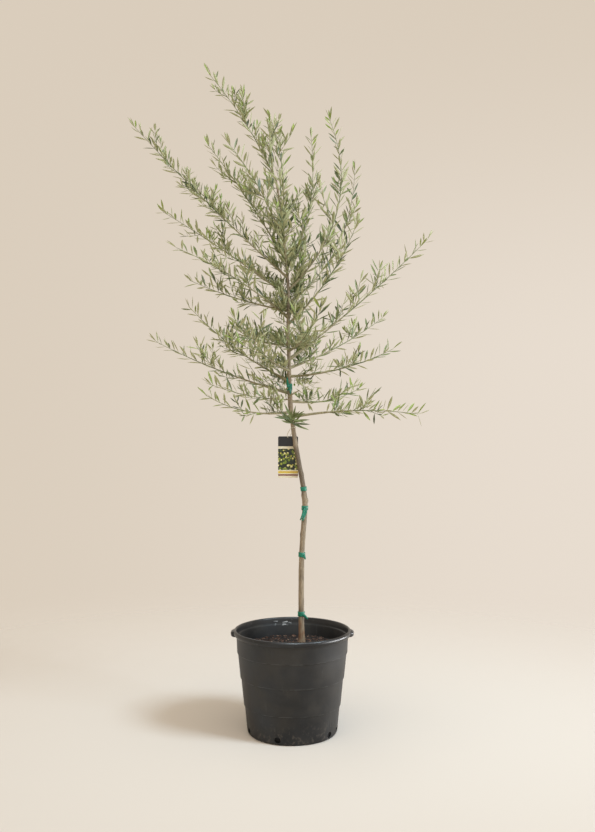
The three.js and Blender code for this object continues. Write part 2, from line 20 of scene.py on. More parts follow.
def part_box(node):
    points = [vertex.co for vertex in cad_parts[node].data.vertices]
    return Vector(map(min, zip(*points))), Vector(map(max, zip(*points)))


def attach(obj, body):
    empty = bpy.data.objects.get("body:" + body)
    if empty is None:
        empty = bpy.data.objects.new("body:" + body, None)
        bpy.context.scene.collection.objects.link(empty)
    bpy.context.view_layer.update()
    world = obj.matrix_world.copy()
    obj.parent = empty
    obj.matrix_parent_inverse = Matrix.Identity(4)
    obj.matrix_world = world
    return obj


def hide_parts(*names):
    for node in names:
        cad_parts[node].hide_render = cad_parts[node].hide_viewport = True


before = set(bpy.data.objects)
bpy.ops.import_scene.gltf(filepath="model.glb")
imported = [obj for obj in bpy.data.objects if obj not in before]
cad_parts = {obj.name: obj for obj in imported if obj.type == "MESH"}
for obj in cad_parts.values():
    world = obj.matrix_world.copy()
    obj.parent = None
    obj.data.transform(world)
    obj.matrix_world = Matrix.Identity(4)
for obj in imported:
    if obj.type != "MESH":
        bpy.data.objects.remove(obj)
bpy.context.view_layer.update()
MM = 0.001
UP = Vector((0, 0, 1))
FULL_TURN = 2 * math.pi

# %% [markdown]
# ## One way to finish every piece
#
# A piece starts as a bmesh, Blender's editable mesh. When its shape is done it becomes an object
# that stays at the origin, with its place in its vertices, so that patterns which read Object
# coordinates keep still. It rides on the only body, stands for the solids it replaces, which are
# hidden, and takes its finishes as its materials.

# %% Turn a shape into a piece
def add_object(name, data):
    thing = bpy.data.objects.new(name, data)
    bpy.context.scene.collection.objects.link(thing)
    return thing


def finished_mesh(name, shape):
    mesh = bpy.data.meshes.new(name)
    shape.to_mesh(mesh)
    shape.free()
    return mesh


def join_part(whole, part):
    """Adds one bmesh to another."""
    mesh = finished_mesh("part", part)
    whole.from_mesh(mesh)
    bpy.data.meshes.remove(mesh)


def make_piece(name, shape, finishes, nodes, smooth=True):
    """shape is a bmesh, or a mesh that is finished already."""
    mesh = finished_mesh(name, shape) if isinstance(shape, bmesh.types.BMesh) else shape
    mesh.polygons.foreach_set("use_smooth", [smooth] * len(mesh.polygons))
    for finish in finishes:
        mesh.materials.append(finish.material)
    piece = add_object(name, mesh)
    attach(piece, "root")
    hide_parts(*nodes)
    print(f"{name}: {len(mesh.vertices)} vertices, {len(mesh.polygons)} faces")
    return piece


def spin(shape, geom, steps, angle=FULL_TURN):
    """Turns a section about the upright axis, and closes it if the turn is a full one."""
    bmesh.ops.spin(
        shape, geom=geom, cent=(0, 0, 0), axis=UP, angle=angle, steps=steps,
        use_merge=angle == FULL_TURN,
    )


# %% [markdown]
# ## Shader maths as plain sums
#
# A finish is a small web of nodes. Written out link by link it is hard to read, so a Wire wraps
# one output socket and turns each sign into a Math node: `1 - dust * 0.4` adds two nodes. Every
# other node comes from one method, which takes its type, its settings and its values. The four
# signs differ only in the operation they name, so a loop writes their methods, both ways round.

# %% A wire that can be written with in sums
class Wire:
    def __init__(self, finish, socket):
        self.finish = finish
        self.socket = socket

    def math(self, operation, *values):
        settings = {"operation": operation}
        return self.finish.node("ShaderNodeMath", settings, dict(enumerate(values)))

    def __abs__(self):
        return self.math("ABSOLUTE", self)

    def __lt__(self, other):
        return self.math("LESS_THAN", self, other)

    def __gt__(self, other):
        return self.math("GREATER_THAN", self, other)


def teach_sign(sign, operation):
    setattr(Wire, f"__{sign}__", lambda left, right: left.math(operation, left, right))
    setattr(Wire, f"__r{sign}__", lambda right, left: right.math(operation, left, right))


for sign, operation in (("add", "ADD"), ("sub", "SUBTRACT"), ("mul", "MULTIPLY"), ("truediv", "DIVIDE")):
    teach_sign(sign, operation)


# %% A finish and its nodes
def paint(red, green, blue):
    """A colour as it looks on screen, 0 to 255, turned into the linear values that nodes take."""
    screen = [value / 255 for value in (red, green, blue)]
    linear = [v / 12.92 if v <= 0.04045 else ((v + 0.055) / 1.055) ** 2.4 for v in screen]
    return (*linear, 1)


class Finish:
    """The nodes of a new material, or of the world's background."""

    def __init__(self, name, owner=None):
        self.material = owner or bpy.data.materials.new(name)
        self.material.use_nodes = True
        self.tree = self.material.node_tree
        self.tree.nodes.clear()
        self.place = self.node("ShaderNodeTexCoord", output="Object")

    def node(self, kind, settings=None, values=None, output=0):
        node = self.tree.nodes.new(kind)
        for name, setting in (settings or {}).items():
            if name == "stops":
                self.set_stops(node.color_ramp, setting)
            else:
                setattr(node, name, setting)
        for socket, value in (values or {}).items():
            if isinstance(value, Wire):
                self.tree.links.new(value.socket, node.inputs[socket])
            else:
                node.inputs[socket].default_value = value
        return Wire(self, node.outputs[output])

    def set_stops(self, ramp, stops):
        for element, (position, colour) in zip(ramp.elements, (stops[0], stops[-1])):
            element.position = position
            element.color = colour
        for position, colour in stops[1:-1]:
            ramp.elements.new(position).color = colour

    def axis(self, name):
        return self.node("ShaderNodeSeparateXYZ", None, {"Vector": self.place}, output=name)

    def stretched(self, x, y, z):
        return self.node("ShaderNodeMapping", None, {"Vector": self.place, "Scale": (x, y, z)})

    def noise(self, scale, seed, detail=2.0, vector=None):
        values = {"Vector": vector or self.place, "W": seed, "Scale": scale, "Detail": detail}
        return self.node("ShaderNodeTexNoise", {"noise_dimensions": "4D"}, values)

    def band(self, value, low, high):
        """0 below low, 1 above high, and a soft step between."""
        values = {"Value": value, "From Min": low, "From Max": high}
        return self.node("ShaderNodeMapRange", {"interpolation_type": "SMOOTHSTEP"}, values)

    def window(self, value, low, full, fade, high):
        """1 between full and fade, 0 below low and above high, and soft steps between."""
        return self.band(value, low, full) * (1 - self.band(value, fade, high))

    def ramp(self, value, *stops):
        return self.node("ShaderNodeValToRGB", {"stops": stops}, {"Fac": value})

    def mix(self, share, first, second):
        values = {0: share, 6: first, 7: second}
        return self.node("ShaderNodeMix", {"data_type": "RGBA"}, values, output=2)

    def surface(self, colour, roughness, height, depth, strength=1.0):
        """The Principled shader that every piece has, with a bump as deep as its relief."""
        relief = {"Height": height, "Distance": depth, "Strength": strength}
        bump = self.node("ShaderNodeBump", None, relief)
        values = {"Base Color": colour, "Roughness": roughness, "Normal": bump}
        self.send(self.node("ShaderNodeBsdfPrincipled", None, values))

    def send(self, shader, output_kind="ShaderNodeOutputMaterial"):
        output = self.tree.nodes.new(output_kind)
        self.tree.links.new(shader.socket, output.inputs["Surface"])


# %% [markdown]
# ## The camera
#
# The view is that of a plain studio shot: a level camera at about waist height, two and a half
# metres away, with a short telephoto look. The focal length in pixels and the frame's long side
# give the lens, because Blender's sensor width belongs to the longer side of the image.

# %% Set up the camera
CAMERA_DISTANCE = 2.455
CAMERA_HEIGHT = 0.819
CAMERA_ASIDE = 0.0135
FOCAL_PIXELS = 945
FRAME_LONG_SIDE = 832
SENSOR = 36

camera_data = bpy.data.cameras.new("camera")
camera_data.sensor_width = SENSOR
camera_data.lens = SENSOR * FOCAL_PIXELS / FRAME_LONG_SIDE
camera = add_object("camera", camera_data)
camera.location = (CAMERA_ASIDE, -CAMERA_DISTANCE, CAMERA_HEIGHT)
camera.rotation_euler = (math.pi / 2, 0, 0)
bpy.context.scene.camera = camera
print("lens", round(camera_data.lens, 2), "mm")

# %% [markdown]
# ## A pale floor without an edge
#
# A studio sweep curves up behind the subject. A wall would block the views from behind, so the
# floor is a disc that fades out into the background instead: a Mix Shader turns it clear with
# the distance from the pot. The background is a warm cream, a little lighter low on the right
# where the main light stands, and it also gives the soft fill light.

# %% Lay the floor and the background
FLOOR_RADIUS = 5.0
FLOOR_FADE = (0.4, 2.3)
GLOW_ASIDE = (-0.4, 0.35)
GLOW_HEIGHT = (0.05, 0.42)

floor_finish = Finish("studio_floor")
ground = floor_finish.node("ShaderNodeVectorMath", {"operation": "LENGTH"}, {0: floor_finish.place}, 1)
matt = {"Color": paint(236, 231, 224), "Roughness": 1.0}
solid_floor = floor_finish.node("ShaderNodeBsdfDiffuse", None, matt)
clear_floor = floor_finish.node("ShaderNodeBsdfTransparent")
faded = {0: floor_finish.band(ground, *FLOOR_FADE), 1: solid_floor, 2: clear_floor}
floor_finish.send(floor_finish.node("ShaderNodeMixShader", None, faded))

floor_shape = bmesh.new()
bmesh.ops.create_circle(floor_shape, cap_ends=True, radius=FLOOR_RADIUS, segments=96)
floor = add_object("floor", finished_mesh("floor", floor_shape))
floor.data.materials.append(floor_finish.material)

bpy.context.scene.world = bpy.data.worlds.new("studio")
backdrop = Finish("backdrop", bpy.context.scene.world)
direction = backdrop.node("ShaderNodeTexCoord", output="Generated")
sideways = backdrop.node("ShaderNodeSeparateXYZ", None, {0: direction}, "X")
upward = backdrop.node("ShaderNodeSeparateXYZ", None, {0: direction}, "Z")
glow = backdrop.band(sideways, *GLOW_ASIDE) * (1 - backdrop.band(upward, *GLOW_HEIGHT))
cream = backdrop.mix(glow, paint(218, 205, 188), paint(232, 221, 208))
backdrop.send(backdrop.node("ShaderNodeBackground", None, {"Color": cream}), "ShaderNodeOutputWorld")
bpy.context.scene.view_settings.view_transform = "Standard"

# %% [markdown]
# ## Soft studio light
#
# One wide panel stands to the right, in front and above, so the pot's soft shadow falls to the
# left and a little back, and one behind lights the rims of the leaves. A low strip beside the
# pot gives its dark wall a sheen, and a small panel above the camera puts a glint on the front of
# the lip. Those two do nothing else, so they are switched off for matt surfaces, as a studio
# would flag them off the floor.

# %% The panels: place, height aimed at, width and height, watts, colour and whether it lights matt
PANELS = {
    "key_panel": ((2.0, -1.2, 2.4), 0.5, (0.9, 0.9), 57, (0.72, 0.87, 1.0), True),
    "low_strip": ((1.9, 0.1, 0.16), 0.13, (1.8, 0.3), 42, (0.97, 0.98, 1.0), False),
    "glint_panel": ((0.1, -1.9, 2.3), 0.26, (1.3, 0.3), 60, (0.8, 0.92, 1.0), False),
    "rim_panel": ((-0.8, 2.2, 2.9), 1.2, (1.4, 1.4), 12, (0.95, 0.97, 1.0), True),
}

for name, (place, aim, size, watts, colour, lights_matt) in PANELS.items():
    panel = bpy.data.lights.new(name, "AREA")
    panel.shape = "RECTANGLE"
    panel.size, panel.size_y = size
    panel.energy = watts
    panel.color = colour
    light = add_object(name, panel)
    light.location = place
    light.rotation_euler = (UP * aim - Vector(place)).to_track_quat("-Z", "Y").to_euler()
    light.visible_camera = False
    light.visible_diffuse = lights_matt

# %% [markdown]
# ## The pot
#
# A nursery pot is one thin moulding: a wall that leans out and steps out, a collar and a thick
# rolled lip, with a ledge inside for stacking. Its outline is the same all round, so the
# cheapest true way to make it is to draw half of its section once and spin it. The sizes come
# from the frame: the pot's own box gives its height and the reach of its lip.

# %% Read the pot's sizes from the frame
pot_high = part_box("pot")[1]
POT_HEIGHT = pot_high.z
LIP_RADIUS = pot_high.y
EAR_REACH = pot_high.x
BASE_RADIUS = 0.116
COLLAR_RADIUS = 0.143
COLLAR_FOOT = 0.207
LIP_FOOT = POT_HEIGHT - 0.014
LIP_ROLL = 4.5 * MM
LEDGE_HEIGHT = 0.249
WALL = 2.4 * MM
STEP = 2.2 * MM
STEP_HEIGHTS = (0.073, 0.144)
CORNER = 8 * MM
SOIL_TOP = 0.219
print("pot", round(POT_HEIGHT, 4), "tall, lip", round(2 * LIP_RADIUS, 4), "across")


def wall_radius(height):
    """The outer wall leans out evenly and steps out a little above each line."""
    lean = (COLLAR_RADIUS - 3 * STEP - BASE_RADIUS) / COLLAR_FOOT
    steps = sum(height > line for line in STEP_HEIGHTS)
    return BASE_RADIUS + lean * height + steps * STEP


# %% Draw the half section of the pot
def pot_section():
    inner = COLLAR_RADIUS - WALL
    outside = [(0, 0), (BASE_RADIUS - CORNER, 0)]
    for turn in (0.25, 0.5, 0.75):
        angle = turn * math.pi / 2
        aside = BASE_RADIUS - CORNER + CORNER * math.sin(angle)
        outside.append((aside, CORNER * (1 - math.cos(angle))))
    outside.append((wall_radius(CORNER), CORNER))
    inside = [(wall_radius(CORNER) - WALL, CORNER)]
    for line in STEP_HEIGHTS:
        outside.append((wall_radius(line), line))
        outside.append((wall_radius(line + MM), line + 1.2 * MM))
        inside.append((wall_radius(line) - WALL, line))
        inside.append((wall_radius(line + MM) - WALL, line + MM))
    outside.append((wall_radius(COLLAR_FOOT), COLLAR_FOOT))
    outside.append((COLLAR_RADIUS, COLLAR_FOOT + 1.8 * MM))
    outside.append((COLLAR_RADIUS + 1.6 * MM, LIP_FOOT - 2 * MM))
    outside.append((COLLAR_RADIUS + 3 * MM, LIP_FOOT + 0.6 * MM))
    lip = []
    half_lip = (POT_HEIGHT - LIP_FOOT) / 2
    for turn in (-85, -60, -35, -10, 15, 40, 65, 90):
        angle = math.radians(turn)
        radius = LIP_RADIUS - LIP_ROLL * (1 - math.cos(angle))
        lip.append((radius, LIP_FOOT + half_lip * (1 + math.sin(angle))))
    lip += [
        (LIP_RADIUS - 6.2 * MM, POT_HEIGHT - 0.7 * MM),
        (LIP_RADIUS - 7.6 * MM, POT_HEIGHT - 3.2 * MM),
        (LIP_RADIUS - 8.4 * MM, LEDGE_HEIGHT + MM),
        (LIP_RADIUS - 9.4 * MM, LEDGE_HEIGHT),
        (inner - 0.3 * MM, LEDGE_HEIGHT - 0.6 * MM),
        (inner - MM, LEDGE_HEIGHT - 2.6 * MM),
        (inner - 2 * MM, COLLAR_FOOT),
    ]
    floor_edge = (BASE_RADIUS - CORNER - MM, 3 * MM)
    return outside + lip + inside[::-1] + [floor_edge, (0, 3 * MM)]


def spin_section(shape, section, steps=96):
    corners = [shape.verts.new((radius, 0, height)) for radius, height in section]
    edges = [shape.edges.new(pair) for pair in zip(corners, corners[1:])]
    spin(shape, corners + edges, steps)
    bmesh.ops.remove_doubles(shape, verts=shape.verts, dist=1e-6)
    bmesh.ops.recalc_face_normals(shape, faces=shape.faces)


# %% [markdown]
# The drain holes are round, through the corner of the base, in two groups of four half a turn
# apart. A Boolean modifier cuts them, and a fine Bevel after it softens every edge the way a
# mould does. The lip's small grip ears come last, because a Boolean wants one closed shell: each
# is a solid tab with a sloping top, spun through a few degrees and rounded off at its ends.

# %% The ears and the drain holes
EAR_HALF_TURN = math.radians(8)
EAR_ROOT = LIP_RADIUS - 4 * MM
EAR_ROUNDING = 0.85
EAR_SECTION = (
    (EAR_ROOT, POT_HEIGHT - 1.2 * MM),
    (EAR_REACH - 3 * MM, POT_HEIGHT - 4.4 * MM),
    (EAR_REACH - 0.6 * MM, POT_HEIGHT - 6.2 * MM),
    (EAR_REACH, POT_HEIGHT - 9.2 * MM),
    (EAR_REACH - 1.2 * MM, POT_HEIGHT - 15.4 * MM),
    (EAR_REACH - 3 * MM, POT_HEIGHT - 16.8 * MM),
    (COLLAR_RADIUS + MM, POT_HEIGHT - 16.2 * MM),
    (COLLAR_RADIUS + MM, POT_HEIGHT - 12 * MM),
    (EAR_ROOT, POT_HEIGHT - 10 * MM),
)
DRAIN_ANGLES = (21, 72, 143, 165)
DRAIN_RADIUS = 8 * MM
DRAIN_HEIGHT = 0.014
DRILL_LENGTH = 0.04
MOULD_EDGE = 0.35 * MM


def add_ear(shape, heading):
    """A section spun about the pot, whose reach beyond the lip dies away towards its ends."""
    ear = bmesh.new()
    corners = [ear.verts.new((radius, 0, height)) for radius, height in EAR_SECTION]
    bmesh.ops.rotate(ear, verts=corners, matrix=Matrix.Rotation(-EAR_HALF_TURN, 3, "Z"))
    spin(ear, [ear.faces.new(corners)], 16, 2 * EAR_HALF_TURN)
    for corner in ear.verts:
        radius = corner.co.xy.length
        turn = math.atan2(corner.co.y, corner.co.x) / EAR_HALF_TURN
        beyond = max(0.0, radius - EAR_ROOT)
        corner.co.xy *= (radius - EAR_ROUNDING * beyond * turn**4) / radius
    bmesh.ops.rotate(ear, verts=ear.verts, matrix=Matrix.Rotation(heading, 3, "Z"))
    join_part(shape, ear)


def cut_holes(piece, cutters):
    drills = add_object("drills", finished_mesh("drills", cutters))
    cut = piece.modifiers.new("drain_holes", "BOOLEAN")
    cut.object = drills
    cut.solver = "EXACT"
    soften = piece.modifiers.new("soft_edges", "BEVEL")
    soften.width = MOULD_EDGE
    soften.segments = 2
    soften.limit_method = "ANGLE"
    soften.angle_limit = math.radians(40)
    graph = bpy.context.evaluated_depsgraph_get()
    finished = bpy.data.meshes.new_from_object(piece.evaluated_get(graph))
    piece.modifiers.clear()
    piece.data = finished
    bpy.data.objects.remove(drills)


# %% [markdown]
# ## Black moulded plastic
#
# The plastic is charcoal rather than black, with a soft sheen. Handling leaves pale upright
# scuffs, a thin film of dust browns the wall in patches, and dried splashes of compost dull its
# foot. A broken pale line along the edge of every step is a painted highlight, where the ledge
# catches the light from above, and pale bluish specks inside the collar at the back are painted
# glints of light on water drops. Each is a mask made of noise or of the place, and the same masks
# roughen the gloss, so a scuff also looks dry. A fine bump is the moulded grain.

# %% Mix the pot's finish
EDGE_RISE = 1.6 * MM
# Where the painted glints lie, on the ledge inside the collar at the back
GLINT_ZONE = {
    "X": (-0.066, -0.05, -0.012, 0.004),
    "Y": (0.128, 0.136, 0.1465, 0.1475),
    "Z": (0.244, 0.2475, 0.257, 0.261),
}

plastic = Finish("black_moulded_plastic")
height = plastic.axis("Z")
mottle = plastic.noise(14, 1.0, 4)
scuffs = plastic.band(plastic.noise(1, 2.0, 5, plastic.stretched(150, 150, 22)), 0.58, 0.8)
scuffs = scuffs * plastic.band(plastic.noise(9, 3.0, 2), 0.45, 0.7)
rubbed = plastic.band(plastic.noise(75, 7.0, 4), 0.6, 0.75) * plastic.band(height, 0.235, 0.262)
foot = 1 - plastic.band(height, 0.0, 0.07)
splash = foot * plastic.band(plastic.noise(110, 4.0, 5), 0.52, 0.66)
lip_gloss = plastic.band(height, LIP_FOOT, LIP_FOOT + 2 * MM)
film = plastic.band(plastic.noise(17, 8.0, 6), 0.38, 0.66) * (1 - lip_gloss)
# Painted highlight: a broken pale line along each step's ledge, where it catches the light above
ledge_highlight = 0
for line in STEP_HEIGHTS + (COLLAR_FOOT,):
    edge_gap = abs(height - (line + EDGE_RISE))
    ledge_highlight = ledge_highlight + (1 - plastic.band(edge_gap, 0.3 * MM, 1.8 * MM))
ledge_highlight = ledge_highlight * plastic.band(plastic.noise(48, 9.0, 4), 0.4, 0.6)
# Painted glints: pale bluish specks on the back ledge, light caught on water drops
glint_specks = plastic.band(plastic.noise(1, 10.0, 3, plastic.stretched(90, 90, 200)), 0.56, 0.66)
for axis, edges in GLINT_ZONE.items():
    glint_specks = glint_specks * plastic.window(plastic.axis(axis), *edges)

charcoal = plastic.ramp(mottle, (0.3, paint(20, 21, 23)), (0.7, paint(36, 38, 41)))
dusty = plastic.mix(film * 0.2, charcoal, paint(86, 79, 66))
# Pale paint for the scuffs and rubbed spots, and for the painted highlights on the step ledges
scuffed_and_highlit = plastic.mix(scuffs * 0.3 + rubbed * 0.25 + ledge_highlight * 0.25, dusty, paint(118, 120, 120))
splashed = plastic.mix(splash * 0.4, scuffed_and_highlit, paint(120, 110, 100))
# The painted glints go on last, in bluish white
glinting = plastic.mix(glint_specks * 0.7, splashed, paint(226, 232, 236))
dryness = 0.42 + mottle * 0.16 + (scuffs + splash) * 0.2 + film * 0.1 - lip_gloss * 0.17
grain = plastic.noise(900, 5.0, 3) + plastic.noise(120, 6.0, 2) * 0.6
plastic.surface(glinting, dryness, grain, 0.15 * MM, 0.3)

# %% Mould the pot
pot_shape = bmesh.new()
spin_section(pot_shape, pot_section())
pot = make_piece("pot_shell", pot_shape, [plastic], ["pot"])

drill_shape = bmesh.new()
drill_place = Matrix.Translation((BASE_RADIUS, 0, DRAIN_HEIGHT)) @ Matrix.Rotation(math.pi / 2, 4, "Y")
for angle in DRAIN_ANGLES + tuple(angle + 180 for angle in DRAIN_ANGLES):
    bmesh.ops.create_cone(
        drill_shape, cap_ends=True, segments=24, radius1=DRAIN_RADIUS, radius2=DRAIN_RADIUS,
        depth=DRILL_LENGTH, matrix=Matrix.Rotation(math.radians(angle), 4, "Z") @ drill_place,
    )
cut_holes(pot, drill_shape)

drilled_shape = bmesh.new()
drilled_shape.from_mesh(pot.data)
for heading in (0, math.pi):
    add_ear(drilled_shape, heading)
bmesh.ops.recalc_face_normals(drilled_shape, faces=drilled_shape.faces)
drilled_shape.to_mesh(pot.data)
drilled_shape.free()
pot.data.polygons.foreach_set("use_smooth", [True] * len(pot.data.polygons))
print("pot with its holes and ears:", len(pot.data.polygons), "faces")

# %% [markdown]
# ## The potting mix
#
# The mix is moist, dark and crumbly: composted bark with reddish flakes. The body is spun like
# the pot, because it fills it, and its top rings are then lifted and sunk by noise. Flakes are
# too many to model one by one, so a few small bevelled chips are made once, then copied with
# their own size, turn and tilt into one joined mesh.

# %% Mix the finishes of the soil
mix_finish = Finish("moist_bark_mix")
crumb = mix_finish.noise(260, 11.0, 6)
patches = mix_finish.noise(35, 12.0, 3)
top_light = mix_finish.band(mix_finish.axis("Z"), 0.19, 0.215)
crumb_tints = (0.36, paint(8, 6, 5)), (0.54, paint(19, 14, 11)), (0.74, paint(44, 33, 26))
crumb_colour = mix_finish.ramp(crumb * 0.7 + patches * 0.3, *crumb_tints)
soil_colour = mix_finish.mix(top_light, paint(8, 7, 6), crumb_colour)
mix_finish.surface(soil_colour, 0.95 - crumb * 0.15, crumb, 2.5 * MM)

chip_finish = Finish("bark_flake")
each_chip = chip_finish.node("ShaderNodeNewGeometry", output="Random Per Island")
dark_tints = (0.0, paint(13, 10, 8)), (0.5, paint(52, 32, 24))
light_tints = (0.82, paint(112, 74, 55)), (1.0, paint(188, 156, 132))
chip_colour = chip_finish.ramp(each_chip, *dark_tints, *light_tints)
fibre = chip_finish.noise(1, 13.0, 3, chip_finish.stretched(900, 300, 900))
fibrous = chip_finish.mix(fibre * 0.5, chip_colour, paint(46, 30, 23))
chip_finish.surface(fibrous, 0.75 + fibre * 0.2, fibre, 0.5 * MM)

# %% Spin the mix and roughen its top
SOIL_EDGE = COLLAR_RADIUS - WALL - 3.2 * MM
SOIL_RINGS = 42
SOIL_HEAPS = 1.6 * MM
SOIL_CRUMBS = 1.3 * MM
SOIL_FOOT = 3.4 * MM


def soil_height(x, y):
    """Coarse heaps and fine crumbs, quiet close to the trunk."""
    coarse = noise.fractal(Vector((x * 22, y * 22, 3.0)), 1.0, 2.0, 3)
    fine = noise.fractal(Vector((x * 120, y * 120, 8.0)), 0.8, 2.0, 3)
    return SOIL_TOP + SOIL_HEAPS * coarse + SOIL_CRUMBS * fine


soil_section = [
    (0, SOIL_FOOT), (BASE_RADIUS - CORNER - 2.5 * MM, SOIL_FOOT),
    (wall_radius(CORNER) - WALL - 1.3 * MM, CORNER + 0.5 * MM),
]
soil_section += [(wall_radius(line) - WALL - 0.4 * MM, line + MM) for line in STEP_HEIGHTS]
soil_section += [(SOIL_EDGE - MM, COLLAR_FOOT - 8 * MM), (SOIL_EDGE, SOIL_TOP - 4 * MM)]
soil_section += [(SOIL_EDGE * (1 - ring / SOIL_RINGS), SOIL_TOP) for ring in range(SOIL_RINGS + 1)]
soil_shape = bmesh.new()
spin_section(soil_shape, soil_section, 120)
for corner in soil_shape.verts:
    if corner.co.z > SOIL_TOP - MM:
        corner.co.z = soil_height(corner.co.x, corner.co.y)
make_piece("potting_mix", soil_shape, [mix_finish], ["soil"])


# %% [markdown]
# ## Many small things in one mesh
#
# Chips and leaves share one trick. A template is modelled once with a few faces. Then numpy
# turns, stretches and moves a copy for every place in the list, and all copies become a single
# mesh. That is quick to build and quick to render, and makes an ordinary piece. A chip takes
# its tint from the numbers of its corners, and Bevel deals those out anew at each run, so a
# chip's corners are put in a fixed order.

# %% Copy a template to many places
def template_arrays(shape):
    """The corners, triangles and material numbers of a small bmesh."""
    bmesh.ops.triangulate(shape, faces=shape.faces)
    shape.verts.index_update()
    corners = np.array([vert.co[:] for vert in shape.verts])
    faces = np.array([[vert.index for vert in face.verts] for face in shape.faces])
    materials = np.array([face.material_index for face in shape.faces])
    shape.free()
    return corners, faces, materials


def in_fixed_order(corners, faces, materials):
    """The same triangles, with corners numbered by place and faces by their corners."""
    by_place = np.lexsort(corners.round(5).T)
    faces = by_place.argsort()[faces]
    turns = (faces.argmin(axis=1)[:, None] + np.arange(3)) % 3
    faces = np.take_along_axis(faces, turns, axis=1)
    by_corner = np.lexsort(faces.T)
    return corners[by_place], faces[by_corner], materials[by_corner]


def scatter(name, copies):
    """copies holds (template, places, frames): frames are 3 by 3, their columns the new axes."""
    corners, faces, materials = [], [], []
    count = 0
    for (shape, triangles, numbers), places, frames in copies:
        if not len(places):
            continue
        moved = np.einsum("nij,vj->nvi", frames, shape) + places[:, None, :]
        firsts = count + np.arange(len(places)) * len(shape)
        corners.append(moved.reshape(-1, 3))
        faces.append((triangles[None] + firsts[:, None, None]).reshape(-1, 3))
        materials.append(np.tile(numbers, len(places)))
        count += len(places) * len(shape)
    mesh = bpy.data.meshes.new(name)
    mesh.from_pydata(np.concatenate(corners).tolist(), [], np.concatenate(faces).tolist())
    mesh.polygons.foreach_set("material_index", np.concatenate(materials).astype(np.int32))
    return mesh


# %% Strew the bark flakes
CHIP_COUNT = 2400
CHIP_LENGTH = 3.7 * MM
CHIP_SPREAD = 0.42
CHIP_SHAPES = ((0.3, 0.2), (-0.4, 0.5), (0.6, -0.3))
chip_random = np.random.default_rng(21)


def chip_template(taper, skew):
    shape = bmesh.new()
    bmesh.ops.create_cube(shape, size=1)
    for corner in shape.verts:
        corner.co.x *= 1 - taper * corner.co.y
        corner.co.y += skew * corner.co.x
        corner.co.z *= 1 - 0.5 * abs(corner.co.y + corner.co.x * 0.4)
    bmesh.ops.bevel(
        shape, geom=shape.edges[:], offset=0.12, affect="EDGES", segments=1, profile=0.5, material=-1,
    )
    return in_fixed_order(*template_arrays(shape))


def chip_places(count):
    radius = SOIL_EDGE * 0.97 * np.sqrt(chip_random.uniform(0.02, 1, count))
    angle = chip_random.uniform(0, FULL_TURN, count)
    x, y = radius * np.cos(angle), radius * np.sin(angle)
    z = [soil_height(a, b) + 0.4 * MM for a, b in zip(x, y)]
    return np.stack([x, y, z], axis=1)


def chip_frame():
    length = chip_random.lognormal(math.log(CHIP_LENGTH), CHIP_SPREAD)
    turn = Matrix.Rotation(chip_random.uniform(0, FULL_TURN), 3, "Z")
    tilt = Matrix.Rotation(chip_random.normal(0, 0.4), 3, "X")
    size = Matrix.Diagonal((length * 0.55, length, length * chip_random.uniform(0.15, 0.35)))
    return np.array(turn @ tilt @ size)


chip_copies = []
for taper, skew in CHIP_SHAPES:
    share = CHIP_COUNT // len(CHIP_SHAPES)
    places = chip_places(share)
    chip_copies.append((chip_template(taper, skew), places, np.array([chip_frame() for _ in places])))
flakes = scatter("bark_flakes", chip_copies)
make_piece("bark_flakes", flakes, [chip_finish], ["soil"], smooth=False)

# %% [markdown]
# ## The trunk's axis, read from the frame
#
# The trunk solid is a stack of eight-cornered rings. Sorted by height and taken eight at a time,
# its corners give the middle and the radius of every ring, so the bark follows the solid without
# a second list of numbers.

# %% Read the rings of the trunk
TRUNK_SIDES = 8

trunk_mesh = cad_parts["trunk"].data
trunk_corners = np.array([vert.co[:] for vert in trunk_mesh.vertices])
trunk_corners = np.unique(np.round(trunk_corners, 6), axis=0)
trunk_corners = trunk_corners[np.argsort(trunk_corners[:, 2])]
trunk_rings = trunk_corners.reshape(-1, TRUNK_SIDES, 3)
trunk_axis = trunk_rings.mean(axis=1)
trunk_radii = np.linalg.norm(trunk_rings - trunk_axis[:, None], axis=2).mean(axis=1)
print(len(trunk_axis), "rings, radius", (trunk_radii[[0, -1]] / MM).round(1), "mm")


def trunk_point(height):
    return Vector([float(np.interp(height, trunk_axis[:, 2], trunk_axis[:, k])) for k in range(3)])


def trunk_radius(height):
    return float(np.interp(height, trunk_axis[:, 2], trunk_radii))


# %% [markdown]
# ## The rule that boughs and shoots grow by
#
# A bough is a gentle arc that leaves the trunk at a height and heading, with a reach, a rise and
# a bow. It is bare at first and then carries leafy shoots. These are the same rows and the same
# rule that the solids were made by, so twigs and leaves land where the solids are.

